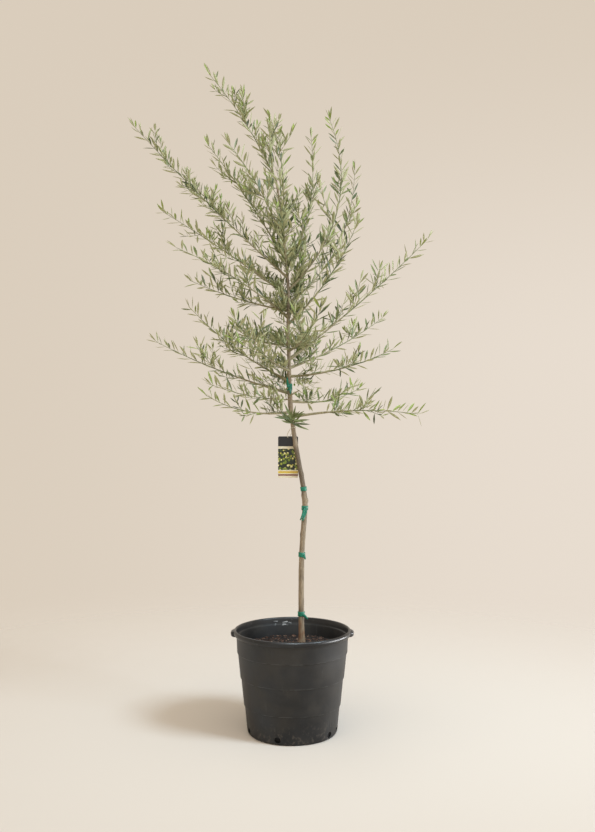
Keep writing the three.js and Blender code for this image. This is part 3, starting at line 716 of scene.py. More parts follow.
# %% The boughs, as name, height, heading, reach, rise, bow and bare length
BOUGHS = (
    ("left_1", 0.830, 200, 0.250, 0.055, 0.025, 0.062),
    ("left_2", 0.878, 172, 0.380, 0.150, 0.012, 0.046),
    ("left_3", 0.909, 155, 0.320, 0.225, 0.018, 0.042),
    ("left_4", 1.092, 152, 0.325, 0.108, 0.010, 0.040),
    ("left_5", 1.074, 203, 0.325, 0.170, -0.016, 0.038),
    ("left_6", 1.128, 168, 0.365, 0.250, -0.006, 0.044),
    ("left_7", 1.178, 185, 0.410, 0.400, 0.008, 0.052),
    ("left_8", 1.220, 148, 0.270, 0.360, -0.008, 0.042),
    ("left_9", 1.262, 218, 0.195, 0.250, -0.020, 0.038),
    ("left_10", 1.312, 120, 0.085, 0.322, -0.034, 0.036),
    ("right_1", 0.816, 353, 0.352, 0.004, -0.015, 0.084),
    ("right_2", 0.922, 340, 0.300, 0.076, 0.018, 0.046),
    ("right_3", 0.944, 28, 0.310, 0.160, 0.014, 0.044),
    ("right_4", 0.966, 3, 0.382, 0.335, 0.010, 0.050),
    ("right_5", 1.058, 327, 0.215, 0.262, 0.025, 0.040),
    ("right_6", 1.112, 32, 0.212, 0.400, 0.060, 0.044),
    ("right_7", 1.146, 337, 0.105, 0.452, 0.088, 0.042),
    ("right_8", 1.204, 50, 0.095, 0.386, 0.050, 0.038),
    ("front_1", 0.936, 245, 0.315, 0.120, 0.020, 0.042),
    ("front_2", 0.988, 286, 0.310, 0.096, 0.020, 0.044),
    ("front_3", 1.184, 266, 0.230, 0.215, 0.012, 0.036),
    ("back_1", 1.070, 78, 0.250, 0.270, 0.016, 0.040),
    ("back_2", 1.006, 122, 0.325, 0.080, 0.020, 0.042),
    ("back_3", 0.858, 46, 0.300, 0.048, 0.020, 0.046),
)
LEADER = ("leader", 1.432, 186, 0.190, 0.288, -0.014)
TRUNK_SPRAYS = (
    ("low_spray", 0.862, 214, 0.232, 0.034, 0.010),
    ("tuft", 0.806, 262, 0.028, 0.024, 0.0),
)
CLEARANCE = 0.3 * MM
TIP_TRIM = 0.026
TIP_RADIUS = 1.1 * MM
STEM_RADIUS = 2 * MM
THINNEST_BOUGH = 2.2 * MM
BOUGH_THICKENING = 0.0035
SEAT = 0.8


# %% An arc that knows its own length
class Arc:
    """A quadratic curve from its root to its tip, which can be asked for places along it."""

    def __init__(self, root, middle, tip):
        self.ends = (Vector(root), Vector(middle), Vector(tip))
        self.shares = np.linspace(0, 1, 201)
        points = np.array([self.point(share)[:] for share in self.shares])
        steps = np.linalg.norm(np.diff(points, axis=0), axis=1)
        self.run = np.concatenate([[0], np.cumsum(steps)])
        self.length = float(self.run[-1])

    def point(self, share):
        root, middle, tip = self.ends
        return root * (1 - share) ** 2 + middle * 2 * share * (1 - share) + tip * share**2

    def share_at(self, along):
        return float(np.interp(along, self.run, self.shares))

    def at(self, along):
        """The point and the direction at a length from the root."""
        share = self.share_at(along)
        root, middle, tip = self.ends
        direction = (middle - root) * (1 - share) + (tip - middle) * share
        return self.point(share), direction.normalized()

    def stretch(self, start, end):
        root, middle, tip = self.ends
        bent = root * (1 - start) * (1 - end) + middle * ((1 - start) * end + start * (1 - end))
        return Arc(self.point(start), bent + tip * start * end, self.point(end))


def towards(angle):
    return Vector((math.cos(angle), math.sin(angle), 0))


def limb_arc(height, heading, reach, rise, bow):
    root = trunk_point(height)
    outward = towards(math.radians(heading))
    tip = root + outward * reach + UP * rise
    sag = (outward * rise - UP * reach).normalized()
    return Arc(root, (root + tip) / 2 + sag * 2 * bow, tip)


# %% Split each limb into bare wood and leafy stem
woods = {}
stems = {}
for name, height, heading, reach, rise, bow, bare in BOUGHS:
    whole = limb_arc(height, heading, reach, rise, bow)
    radius = min(THINNEST_BOUGH + BOUGH_THICKENING * whole.length, SEAT * trunk_radius(height))
    tip_radius = radius + (TIP_RADIUS - radius) * bare / whole.length
    woods[name] = (whole.stretch(0, whole.share_at(bare)), radius, tip_radius)
    end = whole.share_at(whole.length - TIP_TRIM)
    stems[name] = (whole.stretch(whole.share_at(bare + CLEARANCE), end), tip_radius)
leader = limb_arc(*LEADER[1:])
leader_end = leader.share_at(leader.length - TIP_TRIM)
stems["leader"] = (leader.stretch(leader.share_at(2 * CLEARANCE), leader_end), STEM_RADIUS)
for name, *course in TRUNK_SPRAYS:
    stems[name] = (limb_arc(*course), STEM_RADIUS)
leafy_run = sum(stem.length for stem, _ in stems.values())
print(len(woods), "boughs and", len(stems), "leafy stems,", round(leafy_run, 2), "m")


# %% [markdown]
# ## Keeping each mass to its own space
#
# Shoots of neighbouring boughs share the light without growing through one another. The rule is
# simple: a point belongs to the stem that is nearest to it. A shoot or leaf that would cross
# into a neighbour's space, or touch bare wood, isn't grown. All stems and limbs are cut into
# short segments once, so numpy can measure a point against every one of them at a stroke.

# %% Measure a point against every stem and limb
BOUGH_STEPS = 2
SPINE_STEPS = 8


def spine_points(arc, steps):
    return np.array([arc.point(share)[:] for share in np.linspace(0, 1, steps + 1)])


spines = [spine_points(arc, SPINE_STEPS) for arc, _ in stems.values()]
limbs = [trunk_axis]
limb_radii = [trunk_radius(TRUNK_SPRAYS[1][1])]
for arc, radius, _ in woods.values():
    limbs.append(spine_points(arc, BOUGH_STEPS))
    limb_radii.append(radius)
segment_starts = np.concatenate([line[:-1] for line in spines + limbs])
segment_runs = np.concatenate([np.diff(line, axis=0) for line in spines + limbs])
segment_squares = (segment_runs**2).sum(axis=1)
first_segments = np.cumsum([0] + [len(line) - 1 for line in spines + limbs])[:-1]
limb_radii = np.array(limb_radii)


def gaps_from(point):
    """The distances from a point to each stem, and to each limb."""
    away = np.array(point[:]) - segment_starts
    share = np.clip((away * segment_runs).sum(axis=1) / segment_squares, 0, 1)
    gaps = np.linalg.norm(away - segment_runs * share[:, None], axis=1)
    nearest = np.minimum.reduceat(gaps, first_segments)
    return nearest[: len(spines)], nearest[len(spines):]


def is_free(point, own, margin):
    to_spines, to_limbs = gaps_from(point)
    others = np.delete(to_spines, own)
    if (others < to_spines[own] + 2 * margin).any():
        return False
    return bool((to_limbs > limb_radii + margin).all())


# %% A seeded stream of numbers, the same as the solids' own
WORD = 0xFFFFFFFF


def stream(seed):
    state = seed

    def draw(low=0.0, high=1.0):
        nonlocal state
        state = (state + 0x6D2B79F5) & WORD
        t = ((state ^ (state >> 15)) * (1 | state)) & WORD
        t = ((t + (((t ^ (t >> 7)) * (61 | t)) & WORD)) & WORD) ^ t
        return low + (high - low) * (((t ^ (t >> 14)) & WORD) / 2**32)

    return draw


# %% [markdown]
# ## Shoots on shoots
#
# Each stem carries alternate side shoots, shorter towards its tip, at the very places where the
# solids have them. Between them the scene adds a finer order of short twigs. They are crowded
# and upright near the trunk, where the crown is dense, and stop well before the tip, so that
# the ends of the crown are single clean shoots. The trunk between the boughs and the bare wood
# of most boughs bear short twigs as well. On two low boughs these droop into the space below,
# and two others stay bare.

# %% The side shoots that the solids have
FIRST_SEED = 101
FIRST_SHOOT = 0.020
LAST_SHOOT = 0.62
SHOOT_SPACING = 0.072
SIDE_SHOOT_LENGTH = 0.092
SIDE_SHOOT_SPLAY = math.radians(48)
SIDE_SHOOT_RADIUS = 1.5 * MM
SHOOT_SAG = 0.08
SHOOT_MARGIN = 3 * MM
LIFT = 0.28


def splayed(direction, splay, turn, lift=LIFT):
    """A direction at an angle to the shoot, turned round it, and lifted towards the light."""
    aside = direction.cross(UP).normalized()
    above = aside.cross(direction).normalized()
    out = aside * math.cos(turn) + above * math.sin(turn)
    return (direction * math.cos(splay) + out * math.sin(splay) + UP * lift).normalized()


def shoot_arc(root, direction, reach):
    tip = root + direction * reach
    return Arc(root, (root + tip) / 2 - UP * SHOOT_SAG * reach, tip)


def side_shoots(stem, own, draw):
    """Pairs of a side shoot and its place along the stem, from 0 to 1."""
    found = []
    side = 0 if draw() < 0.5 else math.pi
    along = FIRST_SHOOT
    while along < stem.length * LAST_SHOOT:
        share = along / stem.length
        reach = SIDE_SHOOT_LENGTH * (1.1 - 0.6 * share) * draw(0.8, 1.15)
        turn = side + draw(-0.5, 0.9) * (1 if side == 0 else -1)
        side = math.pi - side
        root, direction = stem.at(along)
        shoot = shoot_arc(root, splayed(direction, SIDE_SHOOT_SPLAY, turn), reach)
        if all(is_free(shoot.point(part), own, SHOOT_MARGIN) for part in (0.3, 0.6, 1)):
            found.append((shoot, share))
        along += SHOOT_SPACING
    return found


# %% The finer twigs
TWIG_SEED = 5000
TWIG_RADIUS = 0.9 * MM
TWIG_LENGTH = 0.052
TWIG_SPLAY = math.radians(42)
LAST_TWIG = 0.62
CROWDED_SPACING = 0.032
OPEN_SPACING = 0.050
CORE_RADIUS = 0.20
CORE_SHARE = 0.6
FULLNESS = {
    "leader": 1.4, "left_7": 1.6, "left_6": 1.2, "left_5": 1.1,
    "right_1": 0.4, "right_2": 0.4, "right_3": 0.4, "right_4": 0.1,
    "right_5": 0.1, "right_6": 0.1, "right_7": 0.1, "right_8": 0.2,
    "front_1": 0.7, "front_2": 0.6, "back_1": 0.6, "back_3": 0.2,
}


def free_twig(root, direction, reach, own=None):
    """The longest of three twigs that fits, as a list of one, or an empty list."""
    for size in (1, 0.7, 0.45):
        twig = shoot_arc(root, direction, reach * size)
        owner = int(np.argmin(gaps_from(twig.point(0.8))[0])) if own is None else own
        if all(is_free(twig.point(part), owner, MM) for part in (0.5, 1)):
            return [(twig, TWIG_RADIUS, owner)]
    return []


def fine_twigs(shoot, own, place, fullness, draw):
    """Twigs that stand close and upright near the trunk, and further apart away from it."""
    found = []
    along = draw(0.004, 0.012)
    while along < shoot.length * min(0.9, LAST_TWIG * max(1, fullness)):
        root, direction = shoot.at(along)
        from_trunk = (root - trunk_point(root.z)).length
        share = place or along / shoot.length
        openness = min(1.0, max(from_trunk / CORE_RADIUS, share / CORE_SHARE))
        reach = TWIG_LENGTH * (1.15 - 0.45 * openness) * draw(0.6, 1.3)
        splay = TWIG_SPLAY * draw(0.8, 1.4)
        twig_direction = splayed(direction, splay, draw(0, FULL_TURN), 0.8 - 0.45 * openness)
        found += free_twig(root, twig_direction, reach, own)
        spacing = CROWDED_SPACING + (OPEN_SPACING - CROWDED_SPACING) * openness
        along += spacing / fullness * draw(0.7, 1.3)
    return found


shoots = []
for own, (name, (stem, stem_radius)) in enumerate(stems.items()):
    shoots.append((stem, stem_radius, own))
    if name == "tuft":
        continue
    draw = stream(TWIG_SEED + own)
    fullness = FULLNESS.get(name, 1)
    shoots += fine_twigs(stem, own, 0, fullness, draw)
    for side_shoot, place in side_shoots(stem, own, stream(FIRST_SEED + own)):
        shoots.append((side_shoot, SIDE_SHOOT_RADIUS, own))
        shoots += fine_twigs(side_shoot, own, place, fullness, draw)

# %% Short twigs on the bare wood and the trunk
WOOD_SEED = 7000
WOOD_SHARES = np.linspace(0.3, 0.96, 12)
BARE_WOODS = ("right_1", "back_3")
DROOPING_WOODS = ("right_2", "left_3")
RISING = (0.1, 1.1)
DROOPING = (-1.8, 0.6)
TRUNK_TWIG_RANGES = ((0.915, 1.05, 0.020), (1.05, 1.42, 0.012))

draw = stream(WOOD_SEED)
for name, (arc, _, _) in woods.items():
    if name in BARE_WOODS:
        continue
    lift = DROOPING if name in DROOPING_WOODS else RISING
    for share in WOOD_SHARES:
        root, direction = arc.at(arc.length * share)
        aside = direction.cross(UP).normalized() * draw(-1, 1)
        pointing = (direction * draw(0, 0.6) + aside + UP * draw(*lift)).normalized()
        shoots += free_twig(root, pointing, TWIG_LENGTH * draw(0.6, 1.3))
for low, high, spacing in TRUNK_TWIG_RANGES:
    for height in np.arange(low, high, spacing):
        outward = towards(draw(0, FULL_TURN))
        root = trunk_point(height) + outward * trunk_radius(height) * SEAT
        pointing = (outward * draw(0.4, 1.0) + UP * draw(0.2, 1.1)).normalized()
        shoots += free_twig(root, pointing, TWIG_LENGTH * draw(0.6, 1.4))
print(len(shoots), "shoots,", round(sum(arc.length for arc, _, _ in shoots), 2), "m in all")

# %% [markdown]
# ## One leaf
#
# An olive leaf is a narrow lance, leathery and slightly folded along its midrib, dull grey-green
# above and silvery beneath. A small grid is drawn in to that outline, its middle row sunk for
# the fold, and a copy of it is turned over and kept a little lower for the underside. Merging
# the doubles closes the two along their edge. Faces of the underside take the second material.

# %% Model the leaf template
LEAF_OUTLINE = (0.0, 0.62, 1.0, 0.8, 0.0)
LEAF_FOLD = 0.16
LEAF_THICKNESS = 0.05


def leaf_template(curl):
    """A leaf of length 1 along Y and width 1 along X, curled down towards its tip."""
    shape = bmesh.new()
    rows = len(LEAF_OUTLINE) - 1
    bmesh.ops.create_grid(shape, x_segments=2, y_segments=rows, size=0.5)
    for corner in shape.verts:
        along = corner.co.y + 0.5
        width = LEAF_OUTLINE[round(along * rows)]
        fold = LEAF_FOLD * (abs(corner.co.x) * 2 - 1) * width
        corner.co = Vector((corner.co.x * width, along, fold))
    upper = shape.faces[:]
    under = bmesh.ops.duplicate(shape, geom=shape.verts[:] + shape.edges[:] + upper)["geom"]
    for part in under:
        if isinstance(part, bmesh.types.BMFace):
            part.material_index = 1
            part.normal_flip()
        if isinstance(part, bmesh.types.BMVert) and abs(part.co.x) < 1e-6:
            part.co.z -= LEAF_THICKNESS * 4 * part.co.y * (1 - part.co.y)
    bmesh.ops.remove_doubles(shape, verts=shape.verts, dist=1e-5)
    for corner in shape.verts:
        corner.co.z -= curl * corner.co.y**2
    return template_arrays(shape)


leaf_templates = [leaf_template(curl) for curl in (-0.5, 0.2, 0.9)]
print("a leaf has", len(leaf_templates[0][1]), "triangles")

# %% [markdown]
# ## Pairs of leaves along every shoot
#
# Olive leaves stand in opposite pairs, and each pair is turned a quarter from the last. They
# point forwards and up, and get smaller towards the tip, where the newest pair is almost
# upright. The colour is dealt out by shoot: most are grey-green, some deeper, and young shoots
# and tips are a fresher yellow-green.

# %% Grow the leaves
LEAF_SEED = 9000
LEAF_LENGTH = 0.043
LEAF_WIDTH = 0.0065
LEAF_SPLAY = math.radians(55)
LEAF_LIFT = 0.5
STEM_SPACING = 0.0135
TWIG_SPACING = 0.0098
TINTS = ("grey", "deep", "fresh")
FRESH_SHARE = 0.16
DEEP_SHARE = 0.4
YOUNG_END = 0.88
END_LEAF = 0.72
TWIG_LEAF = 0.7


def add_leaf(leaves, root, direction, own, length, tint, draw):
    tip = root + direction * length
    if not (is_free(tip, own, 0.5 * MM) and is_free((root + tip) / 2, own, MM)):
        return
    facing = Vector((draw(-0.8, 0.8), draw(-0.8, 0.8), 1.0)).normalized()
    across = direction.cross(facing).normalized()
    face = across.cross(direction)
    width = LEAF_WIDTH * draw(0.8, 1.2) * (0.4 + 0.6 * length / LEAF_LENGTH)
    columns = (across * width, direction * length, face * width)
    kind = int(draw(0, len(leaf_templates)))
    leaves[tint, kind].append((root[:], np.array(columns).T))


def dress(leaves, arc, own, size, spacing, draw):
    tint = "fresh" if draw() < FRESH_SHARE else "deep" if draw() < DEEP_SHARE else "grey"
    along = draw(0.003, 0.009)
    turn = draw(0, math.pi)
    while along < arc.length - 0.002:
        share = along / arc.length
        root, direction = arc.at(along)
        length = LEAF_LENGTH * size * (1 - 0.15 * share**3) * draw(0.75, 1.1)
        leaf_tint = "fresh" if share > YOUNG_END and draw() < 0.5 else tint
        for side in (0, math.pi):
            pointing = splayed(direction, LEAF_SPLAY * draw(0.75, 1.3), turn + side, LEAF_LIFT)
            add_leaf(leaves, root, pointing, own, length, leaf_tint, draw)
        turn += math.pi / 2 + draw(-0.5, 0.5)
        along += spacing * draw(0.8, 1.2)
    tip, direction = arc.at(arc.length - 0.5 * MM)
    for turn in (0.6, 2.5):
        pointing = splayed(direction, math.radians(14), turn)
        add_leaf(leaves, tip, pointing, own, LEAF_LENGTH * size * END_LEAF, "fresh", draw)


# %% Fan out the tuft
TUFT_LEAVES = 26
TUFT_LEAF = 0.047
TUFT_WIDTH = 0.0056
TUFT_LEAN = (-28, 172)
TUFT_DROP = 16 * MM


def fan_out(leaves, arc, draw):
    """Long leaves all round the front of the trunk, from a shoot too short to tell them apart."""
    for number in range(TUFT_LEAVES):
        root = arc.at(arc.length * draw(0.3, 0.95))[0] - UP * TUFT_DROP
        low, high = TUFT_LEAN
        angle = math.radians(low + (high - low) * (number + draw(-0.3, 0.3)) / (TUFT_LEAVES - 1))
        pointing = Vector((math.cos(angle), -draw(0.1, 0.7), math.sin(angle))).normalized()
        length = TUFT_LEAF * draw(0.6, 1.15)
        _, to_limbs = gaps_from(root + pointing * length * 0.8)
        if (to_limbs < limb_radii).any():
            continue
        facing = Vector((draw(-0.4, 0.4), -1.0, draw(0.0, 0.6)))
        across = pointing.cross(facing).normalized()
        columns = (across * TUFT_WIDTH, pointing * length, across.cross(pointing) * TUFT_WIDTH)
        tint = "deep" if draw() < 0.3 else "grey"
        leaves[tint, number % len(leaf_templates)].append((root[:], np.array(columns).T))


# %% Dress every shoot
kinds = range(len(leaf_templates))
leaves = {(tint, kind): [] for tint in TINTS for kind in kinds}
for number, (arc, radius, own) in enumerate(shoots):
    draw = stream(LEAF_SEED + number)
    if arc is stems["tuft"][0]:
        fan_out(leaves, arc, draw)
        continue
    size, spacing = (1.0, STEM_SPACING) if radius > TWIG_RADIUS else (TWIG_LEAF, TWIG_SPACING)
    dress(leaves, arc, own, size, spacing, draw)
print({tint: sum(len(leaves[tint, kind]) for kind in kinds) for tint in TINTS}, "leaves")


# %% [markdown]
# ## Leaf and twig finishes
#
# A leaf's upper face has a waxy, even sheen over a slightly mottled green. The underside is
# felted, so it is paler, greyer and quite rough. Each tint is a plain colour with a small slow
# change across the crown, because every leaf is only a few faces.

# %% Mix the leaf finishes
def leaf_finish(name, dark, light, roughness):
    finish = Finish(name)
    cloudy = finish.noise(38, 31.0, 2)
    veins = finish.noise(420, 32.0, 2)
    green = finish.ramp(cloudy * 0.8 + veins * 0.2, (0.35, dark), (0.65, light))
    finish.surface(green, roughness + 0.12 * veins, veins, 0.15 * MM, 0.5)
    return finish


upper_finishes = {
    "grey": leaf_finish("leaf_grey_green", paint(102, 116, 68), paint(138, 147, 94), 0.42),
    "deep": leaf_finish("leaf_deep_green", paint(70, 86, 48), paint(100, 112, 66), 0.40),
    "fresh": leaf_finish("leaf_fresh_green", paint(128, 150, 62), paint(162, 174, 88), 0.44),
}
under_finish = leaf_finish("leaf_silver_underside", paint(162, 166, 118), paint(190, 192, 148), 0.62)

# %% Join the leaves of each tint
mass_nodes = [f"foliage_{name}" for name in stems]
for tint in TINTS:
    copies = []
    for kind, template in enumerate(leaf_templates):
        grown = leaves[tint, kind]
        places = np.array([root for root, _ in grown])
        frames = np.array([columns for _, columns in grown])
        copies.append((template, places, frames))
    name = f"leaves_{tint}"
    finishes = [upper_finishes[tint], under_finish]
    make_piece(name, scatter(name, copies), finishes, mass_nodes, smooth=False)

# %% [markdown]
# ## Round limbs with bark in relief
#
# A limb is a tube that follows a line, thick at its root and thin at its tip. It starts as a
# flat grid: one way becomes the turn round the limb, the other the way along it. Frames carried
# along the line keep it from twisting, the two long edges are merged, and the ends are filled.
# A relief function lifts or sinks every corner, which is where bark, knots and flare come from.

# %% Roll a grid into a limb
def carried_frames(points):
    """A pair of cross directions at each point, turned as little as the line allows."""
    ahead = np.gradient(points, axis=0)
    ahead /= np.linalg.norm(ahead, axis=1)[:, None]
    aside = Vector(ahead[0]).orthogonal().normalized()
    sides = []
    for direction in ahead:
        direction = Vector(direction)
        aside = (aside - direction * aside.dot(direction)).normalized()
        sides.append((aside.copy(), direction.cross(aside)))
    return sides


def roll_limb(shape, points, radii, sides, relief=None, finish_number=0):
    rings = len(points)
    frames = carried_frames(points)
    corners = bmesh.ops.create_grid(shape, x_segments=sides, y_segments=rings - 1, size=0.5)["verts"]
    for corner in corners:
        angle = (corner.co.x + 0.5) * FULL_TURN
        ring = round((corner.co.y + 0.5) * (rings - 1))
        aside, above = frames[ring]
        out = aside * math.cos(angle) + above * math.sin(angle)
        radius = radii[ring]
        if relief:
            radius += relief(Vector(points[ring]) + out * radius, out, ring)
        corner.co = Vector(points[ring]) + out * radius
    bmesh.ops.remove_doubles(shape, verts=corners, dist=1e-7)
    open_edges = [edge for edge in shape.edges if edge.is_boundary]
    bmesh.ops.holes_fill(shape, edges=open_edges, sides=sides)
    bmesh.ops.recalc_face_normals(shape, faces=shape.faces)
    for face in shape.faces:
        face.material_index = finish_number


# %% [markdown]
# ## Bark
#
# Young olive bark is smooth and grey-brown, with fine upright cracks, small pale pores and, at
# the foot of the stem, orange-brown patches where the outer skin has rubbed off. Those patches
# are painted darker than the rubbed bark itself, as painted shade low in the pot. One stretch of
# the trunk, above its crook, is darker. The relief of the mesh gives the slow swells and knots;
# the finish adds the cracks and pores as colour and bump.

# %% Mix the bark finish
DARK_STRETCH = (0.60, 0.64, 0.71, 0.77)
# Orange-brown rubbed bark, painted darker as the shade low in the pot
RUBBED_AND_SHADED_BARK = paint(138, 88, 52)
PORE_COLOUR = paint(178, 160, 134)


def bark_finish(name, dark, light, warm, scale, shade=0.0):
    finish = Finish(name)
    height = finish.axis("Z")
    cracks = finish.noise(1, 41.0, 5, finish.stretched(420 * scale, 420 * scale, 46 * scale))
    patches = finish.noise(32 * scale, 42.0, 3)
    pores = finish.band(finish.noise(1, 43.0, 1, finish.stretched(520, 520, 300)), 0.66, 0.74)
    low = 1 - finish.band(height, 0.24, 0.36)
    skin = finish.ramp(cracks * 0.65 + patches * 0.35, (0.32, dark), (0.62, light))
    shaded = finish.mix(finish.window(height, *DARK_STRETCH) * shade, skin, paint(84, 70, 52))
    # Rubbed patches low on the trunk: real wear, painted darker as shade low in the pot
    worn_and_shaded = finish.mix(low * finish.band(patches, 0.44, 0.62) * 0.75, shaded, warm)
    dotted = finish.mix(pores * 0.5, worn_and_shaded, PORE_COLOUR)
    finish.surface(dotted, 0.68 + cracks * 0.2, cracks + pores * 0.3, 0.7 * MM)
    return finish


bark = bark_finish("olive_bark", paint(98, 84, 66), paint(176, 158, 131), RUBBED_AND_SHADED_BARK, 1.0, 0.75)
bough_bark = bark_finish("bough_bark", paint(120, 112, 82), paint(178, 168, 132), RUBBED_AND_SHADED_BARK, 1.4)
young_bark = bark_finish("young_bark", paint(130, 120, 90), paint(178, 168, 134), paint(140, 124, 88), 1.8)
green_skin = (paint(104, 112, 72), paint(142, 148, 104), paint(120, 124, 80))
green_bark = bark_finish("green_shoot_bark", *green_skin, 2.4)

# %% Shape the trunk
TRUNK_FINE_RINGS = 420
TRUNK_ROUND = 20
KNOTS = (
    (0.341, 40, 1.2), (0.418, 250, 1.0), (0.512, 170, 1.1), (0.600, 350, 2.6), (0.612, 160, 1.5),
    (0.668, 20, 1.2), (0.742, 200, 1.6), (0.802, 320, 1.4), (0.846, 240, 1.5), (0.868, 300, 1.8),
)
KNOT_REACH = 6.5 * MM
FLARE = 1.6 * MM
FLARE_RUN = 0.012
AXIS_SMOOTHING = 7
RADIUS_SMOOTHING = 2


def smoothed(values, width):
    padded = np.concatenate([np.full(width, values[0]), values, np.full(width, values[-1])])
    return np.convolve(padded, np.full(2 * width + 1, 1 / (2 * width + 1)), mode="valid")


def trunk_relief(surface_point, out, ring):
    x, y, z = surface_point
    ridge = noise.noise(Vector((x * 190, y * 190, z * 26)))
    swell = noise.noise(Vector((x * 40, y * 40, z * 34 + 5)))
    lift = 0.35 * MM * ridge + 0.5 * MM * swell
    lobes = math.cos(3 * math.atan2(out.y, out.x) + 1)
    lift += FLARE * lobes * math.exp(-max(0.0, z - SOIL_TOP) / FLARE_RUN)
    for height, heading, size in KNOTS:
        centre = trunk_point(height)
        centre += towards(math.radians(heading)) * trunk_radius(height)
        gap = (surface_point - centre).length
        lift += size * MM * math.exp(-((gap / KNOT_REACH) ** 2))
    return lift


trunk_heights = np.linspace(trunk_axis[0, 2], trunk_axis[-1, 2], TRUNK_FINE_RINGS)
trunk_line = np.array([trunk_point(height)[:] for height in trunk_heights])
for column in (0, 1):
    trunk_line[:, column] = smoothed(trunk_line[:, column], AXIS_SMOOTHING)
trunk_line_radii = np.array([trunk_radius(height) for height in trunk_heights])
trunk_line_radii = smoothed(trunk_line_radii, RADIUS_SMOOTHING)
trunk_shape = bmesh.new()
roll_limb(trunk_shape, trunk_line, trunk_line_radii, TRUNK_ROUND, trunk_relief)
make_piece("trunk_bark", trunk_shape, [bark], ["trunk"])

# %% [markdown]
# The boughs start at the trunk's axis, so they grow out of its bark, and a swelling at their
# root makes the collar that real branches have. Each is rolled in a bmesh of its own and then
# joined, because the operators slow down as one mesh gets long.

# %% Shape the boughs
BOUGH_RINGS = 26
BOUGH_ROUND = 10
COLLAR_SWELL = 0.45
COLLAR_RUN = 0.009
STUB_HEIGHT = 0.868
STUB_RINGS = 8
STUB_ROUND = 8


def joined_limbs(limbs_to_roll):
    joined = bmesh.new()
    for limb in limbs_to_roll:
        limb_shape = bmesh.new()
        roll_limb(limb_shape, *limb)
        join_part(joined, limb_shape)
    return joined


def bough_relief(surface_point, out, ring):
    return 0.22 * MM * noise.noise(surface_point * 130)


bough_limbs = []
shares = np.linspace(0, 1, BOUGH_RINGS + 1)
for arc, radius, tip_radius in woods.values():
    beyond_trunk = np.maximum(0, shares * arc.length - radius / SEAT)
    collar = 1 + COLLAR_SWELL * np.exp(-beyond_trunk / COLLAR_RUN)
    radii = np.minimum((radius + (tip_radius - radius) * shares) * collar, radius * 1.2)
    bough_limbs.append((spine_points(arc, BOUGH_RINGS), radii, BOUGH_ROUND, bough_relief))
stub_root = trunk_point(STUB_HEIGHT) + Vector((-0.004, -0.006, 0))
stub = Arc(stub_root, (-0.001, -0.022, 0.875), (0.0184, -0.026, 0.885))
stub_radii = np.linspace(2.3, 1.6, STUB_RINGS + 1) * MM
bough_limbs.append((spine_points(stub, STUB_RINGS), stub_radii, STUB_ROUND, bough_relief))
bough_nodes = [f"bough_{name}" for name in woods]
make_piece("bough_bark", joined_limbs(bough_limbs), [bough_bark], bough_nodes)

# %% Shape the stems, shoots and twigs
SHOOT_TIP_RADIUS = 0.5 * MM
TWIG_STEP = 0.013
SHOOT_TAPER = 0.5
GREEN_SHARE = 0.3
SHOOT_ROUND = 6
TWIG_ROUND = 5

twig_limbs = []
for arc, radius, own in shoots:
    steps = max(3, round(arc.length / TWIG_STEP))
    points = spine_points(arc, steps)
    radii = radius + (SHOOT_TIP_RADIUS - radius) * np.linspace(0, 1, steps + 1) ** SHOOT_TAPER
    if radius > TWIG_RADIUS:
        change = max(1, round(steps * GREEN_SHARE))
        twig_limbs.append((points[: change + 1], radii[: change + 1], SHOOT_ROUND, None, 0))
        twig_limbs.append((points[change:], radii[change:], SHOOT_ROUND, None, 1))
    else:
        twig_limbs.append((points, radii, TWIG_ROUND, None, 1))
make_piece("twigs", joined_limbs(twig_limbs), [young_bark, green_bark], mass_nodes)

# %% [markdown]
# ## Tape ties
#
# The stem was tied in with soft green plastic tape. Each tie is a short band, most with a loose
# tail or two that lean away. The band is a thin section spun once round the trunk, a little
# slack and crumpled by noise; a tail is a narrow grid bent along an arc, and Solidify gives it
# thickness.

# %% Mix the tape's finish
tape = Finish("green_tie_tape")
creases = tape.noise(1, 51.0, 3, tape.stretched(200, 200, 700))
tape_green = tape.ramp(creases, (0.3, paint(2, 98, 78)), (0.7, paint(14, 152, 120)))
tape.surface(tape_green, 0.3 + creases * 0.25, creases, 0.8 * MM, 0.7)

# %% The ties: height, band, and the length, lean, place aside and place ahead of each tail
TIES = (
    (0.305, 0.012, ((0.011, -58, 0.004, 0.0),)),
    (0.459, 0.012, ((0.006, -36, 0.004, 0.0),)),
    (0.580, 0.012, ((0.028, 8, 0.004, 0.0), (0.026, 10, -0.001, 0.0007))),
    (0.630, 0.011, ()),
    (0.894, 0.018, ((0.009, -14, 0.001, 0.0), (0.017, 162, -0.002, 0.0007))),
)
BAND_SECTION = ((0, -0.5), (1.1, -0.46), (1.3, -0.2), (0.9, 0.05), (1.4, 0.3), (1, 0.48), (0, 0.5))
BAND_ROUND = 40
CRUMPLE = 0.9 * MM
TAPE_EASE = 0.9 * MM
TAPE_THICKNESS = 0.7 * MM
TAIL_WIDTH = 6.5 * MM
TAIL_TAPER = 0.7
TAIL_BEND = -10


# %% Wrap the bands and bend the tails
def add_band(shape, height, band):
    centre = trunk_point(height)
    inner = trunk_radius(height) + TAPE_EASE
    lean = (trunk_point(height + band) - trunk_point(height - band)).normalized()
    corners = []
    for aside, up in BAND_SECTION:
        corners.append(shape.verts.new((inner + aside * TAPE_THICKNESS, 0, up * band)))
    edges = [shape.edges.new(pair) for pair in zip(corners, corners[1:] + corners[:1])]
    spin(shape, corners + edges, BAND_ROUND)
    turned = UP.rotation_difference(lean).to_matrix()
    for corner in shape.verts:
        crumple = noise.noise(corner.co * 330 + Vector((height * 50, 0, 0)))
        outward = Vector((corner.co.x, corner.co.y, 0)).normalized()
        fold = noise.noise(Vector((corner.co.x * 160, corner.co.y * 160, height * 9)))
        corner.co += outward * max(0.0, crumple) * CRUMPLE + UP * fold * CRUMPLE
        corner.co = turned @ corner.co + centre


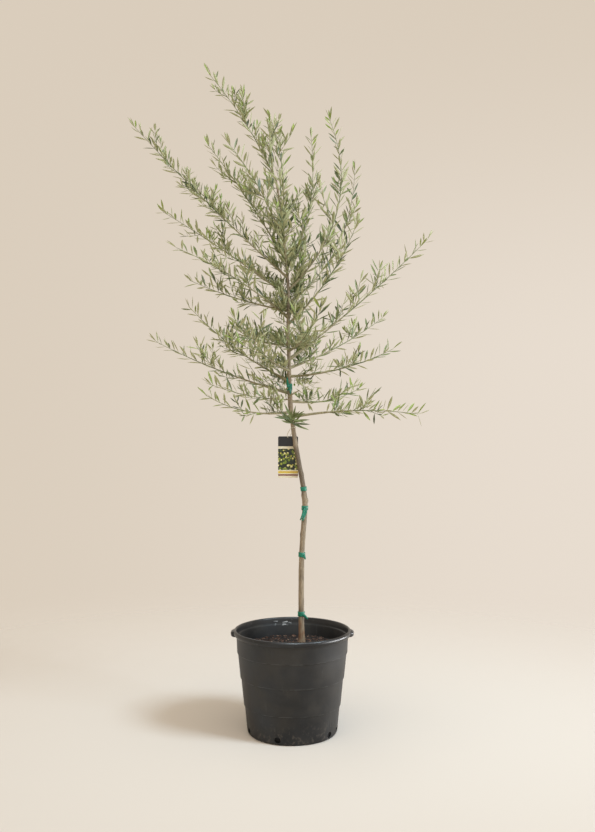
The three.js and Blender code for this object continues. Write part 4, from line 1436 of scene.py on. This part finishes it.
def add_tail(shape, height, band, length, lean, aside, ahead):
    """A strip that leaves the front of the band, droops and curls a little at its end."""
    front = trunk_radius(height) + TAPE_EASE + TAPE_THICKNESS + ahead
    root = trunk_point(height) + Vector((aside, -front, 0))
    strip = bmesh.ops.create_grid(shape, x_segments=3, y_segments=14, size=0.5)["verts"]
    for corner in strip:
        share = 0.5 - corner.co.y
        turn = math.radians(TAIL_BEND * share - lean)
        run = share * (length + band / 2)
        across = corner.co.x * TAIL_WIDTH * (1.1 - TAIL_TAPER * share**2)
        wave = 1.2 * MM * math.sin(share * 5 + height * 40) * share + 2.4 * MM * share**2
        cup = 0.5 * MM * (corner.co.x * 2) ** 2
        x = math.sin(turn) * run + math.cos(turn) * across
        z = math.sin(turn) * across - math.cos(turn) * run
        corner.co = root + Vector((x, cup - 0.4 * MM - abs(wave), z))
    faces = list({face for corner in strip for face in corner.link_faces})
    bmesh.ops.solidify(shape, geom=faces, thickness=0.5 * MM)


for number, (height, band, tails) in enumerate(TIES, 1):
    tie_shape = bmesh.new()
    add_band(tie_shape, height, band)
    bmesh.ops.recalc_face_normals(tie_shape, faces=tie_shape.faces)
    for tail in tails:
        add_tail(tie_shape, height, band, *tail)
    bmesh.ops.recalc_face_normals(tie_shape, faces=tie_shape.faces)
    make_piece(f"tie_band_{number}", tie_shape, [tape], [f"tie_{number}"])

# %% [markdown]
# ## The label
#
# A plastic label hangs behind the trunk on a thin loop. Its print is a plain design: a black
# head, a cream line, a field of yellow-green dots on dark green, and a cream foot with a yellow
# and a dark red rule. It is worked out from Object coordinates, so it needs no image. The card is
# a thin block with rounded corners and a soft bend.

# %% Print the label
CARD_WIDTH = 0.052
CARD_HEIGHT = 0.108
CARD_MIDDLE = Vector((-0.011, 0.0076, 0.712))
CARD_FOOT = CARD_MIDDLE.z - CARD_HEIGHT / 2

card = Finish("printed_label")
up_card = (card.axis("Z") - CARD_FOOT) / CARD_HEIGHT
dot_values = {"Vector": card.stretched(150, 1, 150), "Scale": 1.0, "Randomness": 0.8}
dots = card.node("ShaderNodeTexVoronoi", None, dot_values)
dot_tint = card.node("ShaderNodeTexVoronoi", None, dot_values, "Color")
leafy = card.ramp(card.noise(150, 64.0, 3), (0.45, paint(14, 20, 12)), (0.7, paint(62, 80, 34)))
ripe_tints = (0.3, paint(120, 140, 40)), (0.5, paint(206, 196, 76)), (0.7, paint(240, 232, 160))
picture = card.mix(card.band(dots, 0.44, 0.52), card.ramp(dot_tint, *ripe_tints), leafy)
cream_ink = paint(232, 224, 196)
ABOVE_CARD = 2
LABEL_BANDS = (
    (0.19, ABOVE_CARD, picture),
    (0.05, 0.085, paint(110, 22, 26)),
    (0.11, 0.16, paint(222, 190, 70)),
    (0.7, ABOVE_CARD, cream_ink),
    (0.76, ABOVE_CARD, paint(22, 21, 22)),
)
printed = cream_ink
for low, high, ink in LABEL_BANDS:
    printed = card.mix((up_card > low) * (up_card < high), printed, ink)
handling = card.noise(240, 61.0, 2)
card.surface(printed, 0.32 + handling * 0.2, handling, 0.1 * MM, 0.5)

loop_plastic = Finish("pale_loop_plastic")
cloud = loop_plastic.noise(300, 62.0, 2)
pale = loop_plastic.ramp(cloud, (0.3, paint(196, 188, 160)), (0.7, paint(226, 220, 198)))
loop_plastic.surface(pale, 0.35 + cloud * 0.2, cloud, 0.1 * MM, 0.4)

# %% Cut the card and thread its loop
CARD_THICKNESS = 1.0 * MM
LOOP_RADIUS = 0.8 * MM

card_shape = bmesh.new()
bmesh.ops.create_cube(card_shape, size=1)
upright = [edge for edge in card_shape.edges if abs(edge.verts[0].co.y - edge.verts[1].co.y) > 0.5]
bmesh.ops.scale(card_shape, vec=(CARD_WIDTH, CARD_THICKNESS, CARD_HEIGHT), verts=card_shape.verts)
bmesh.ops.bevel(
    card_shape, geom=upright, offset=3.5 * MM, affect="EDGES", segments=6, profile=0.5, material=-1,
)
for cut in range(1, 16):
    level = (cut / 16 - 0.5) * CARD_HEIGHT
    everything = card_shape.verts[:] + card_shape.edges[:] + card_shape.faces[:]
    bmesh.ops.bisect_plane(card_shape, geom=everything, plane_co=(0, 0, level), plane_no=(0, 0, 1))
for corner in card_shape.verts:
    bend = (corner.co.z / CARD_HEIGHT) ** 2 - 0.1
    corner.co += CARD_MIDDLE + Vector((0, 1.6 * MM * max(0.0, bend), 0))
make_piece("label_card", card_shape, [card], ["tag"], smooth=False)

LOOP_HEIGHT = CARD_MIDDLE.z + CARD_HEIGHT / 2 + 0.023
loop_centre = trunk_point(LOOP_HEIGHT)
loop_round = trunk_radius(LOOP_HEIGHT) + 1.1 * MM + LOOP_RADIUS
loop_knots = [
    Vector((CARD_MIDDLE.x, CARD_MIDDLE.y, LOOP_HEIGHT - 0.026)),
    loop_centre + Vector((-loop_round, -0.002, -0.004)),
    loop_centre + Vector((0, -loop_round, 0)),
    loop_centre + Vector((loop_round, 0, 0)),
    loop_centre + Vector((0.002, loop_round, -0.003)),
]
loop_curve = bpy.data.curves.new("label_loop", "CURVE")
loop_curve.dimensions = "3D"
loop_curve.bevel_depth = LOOP_RADIUS
loop_curve.bevel_resolution = 3
loop_spline = loop_curve.splines.new("BEZIER")
loop_spline.bezier_points.add(len(loop_knots) - 1)
loop_spline.use_cyclic_u = True
for point, knot in zip(loop_spline.bezier_points, loop_knots):
    point.co = knot
    point.handle_left_type = "AUTO"
    point.handle_right_type = "AUTO"
loop_object = bpy.data.objects.new("label_loop_line", loop_curve)
loop_mesh = bpy.data.meshes.new_from_object(loop_object)
bpy.data.objects.remove(loop_object)
make_piece("label_loop", loop_mesh, [loop_plastic], ["tag"])
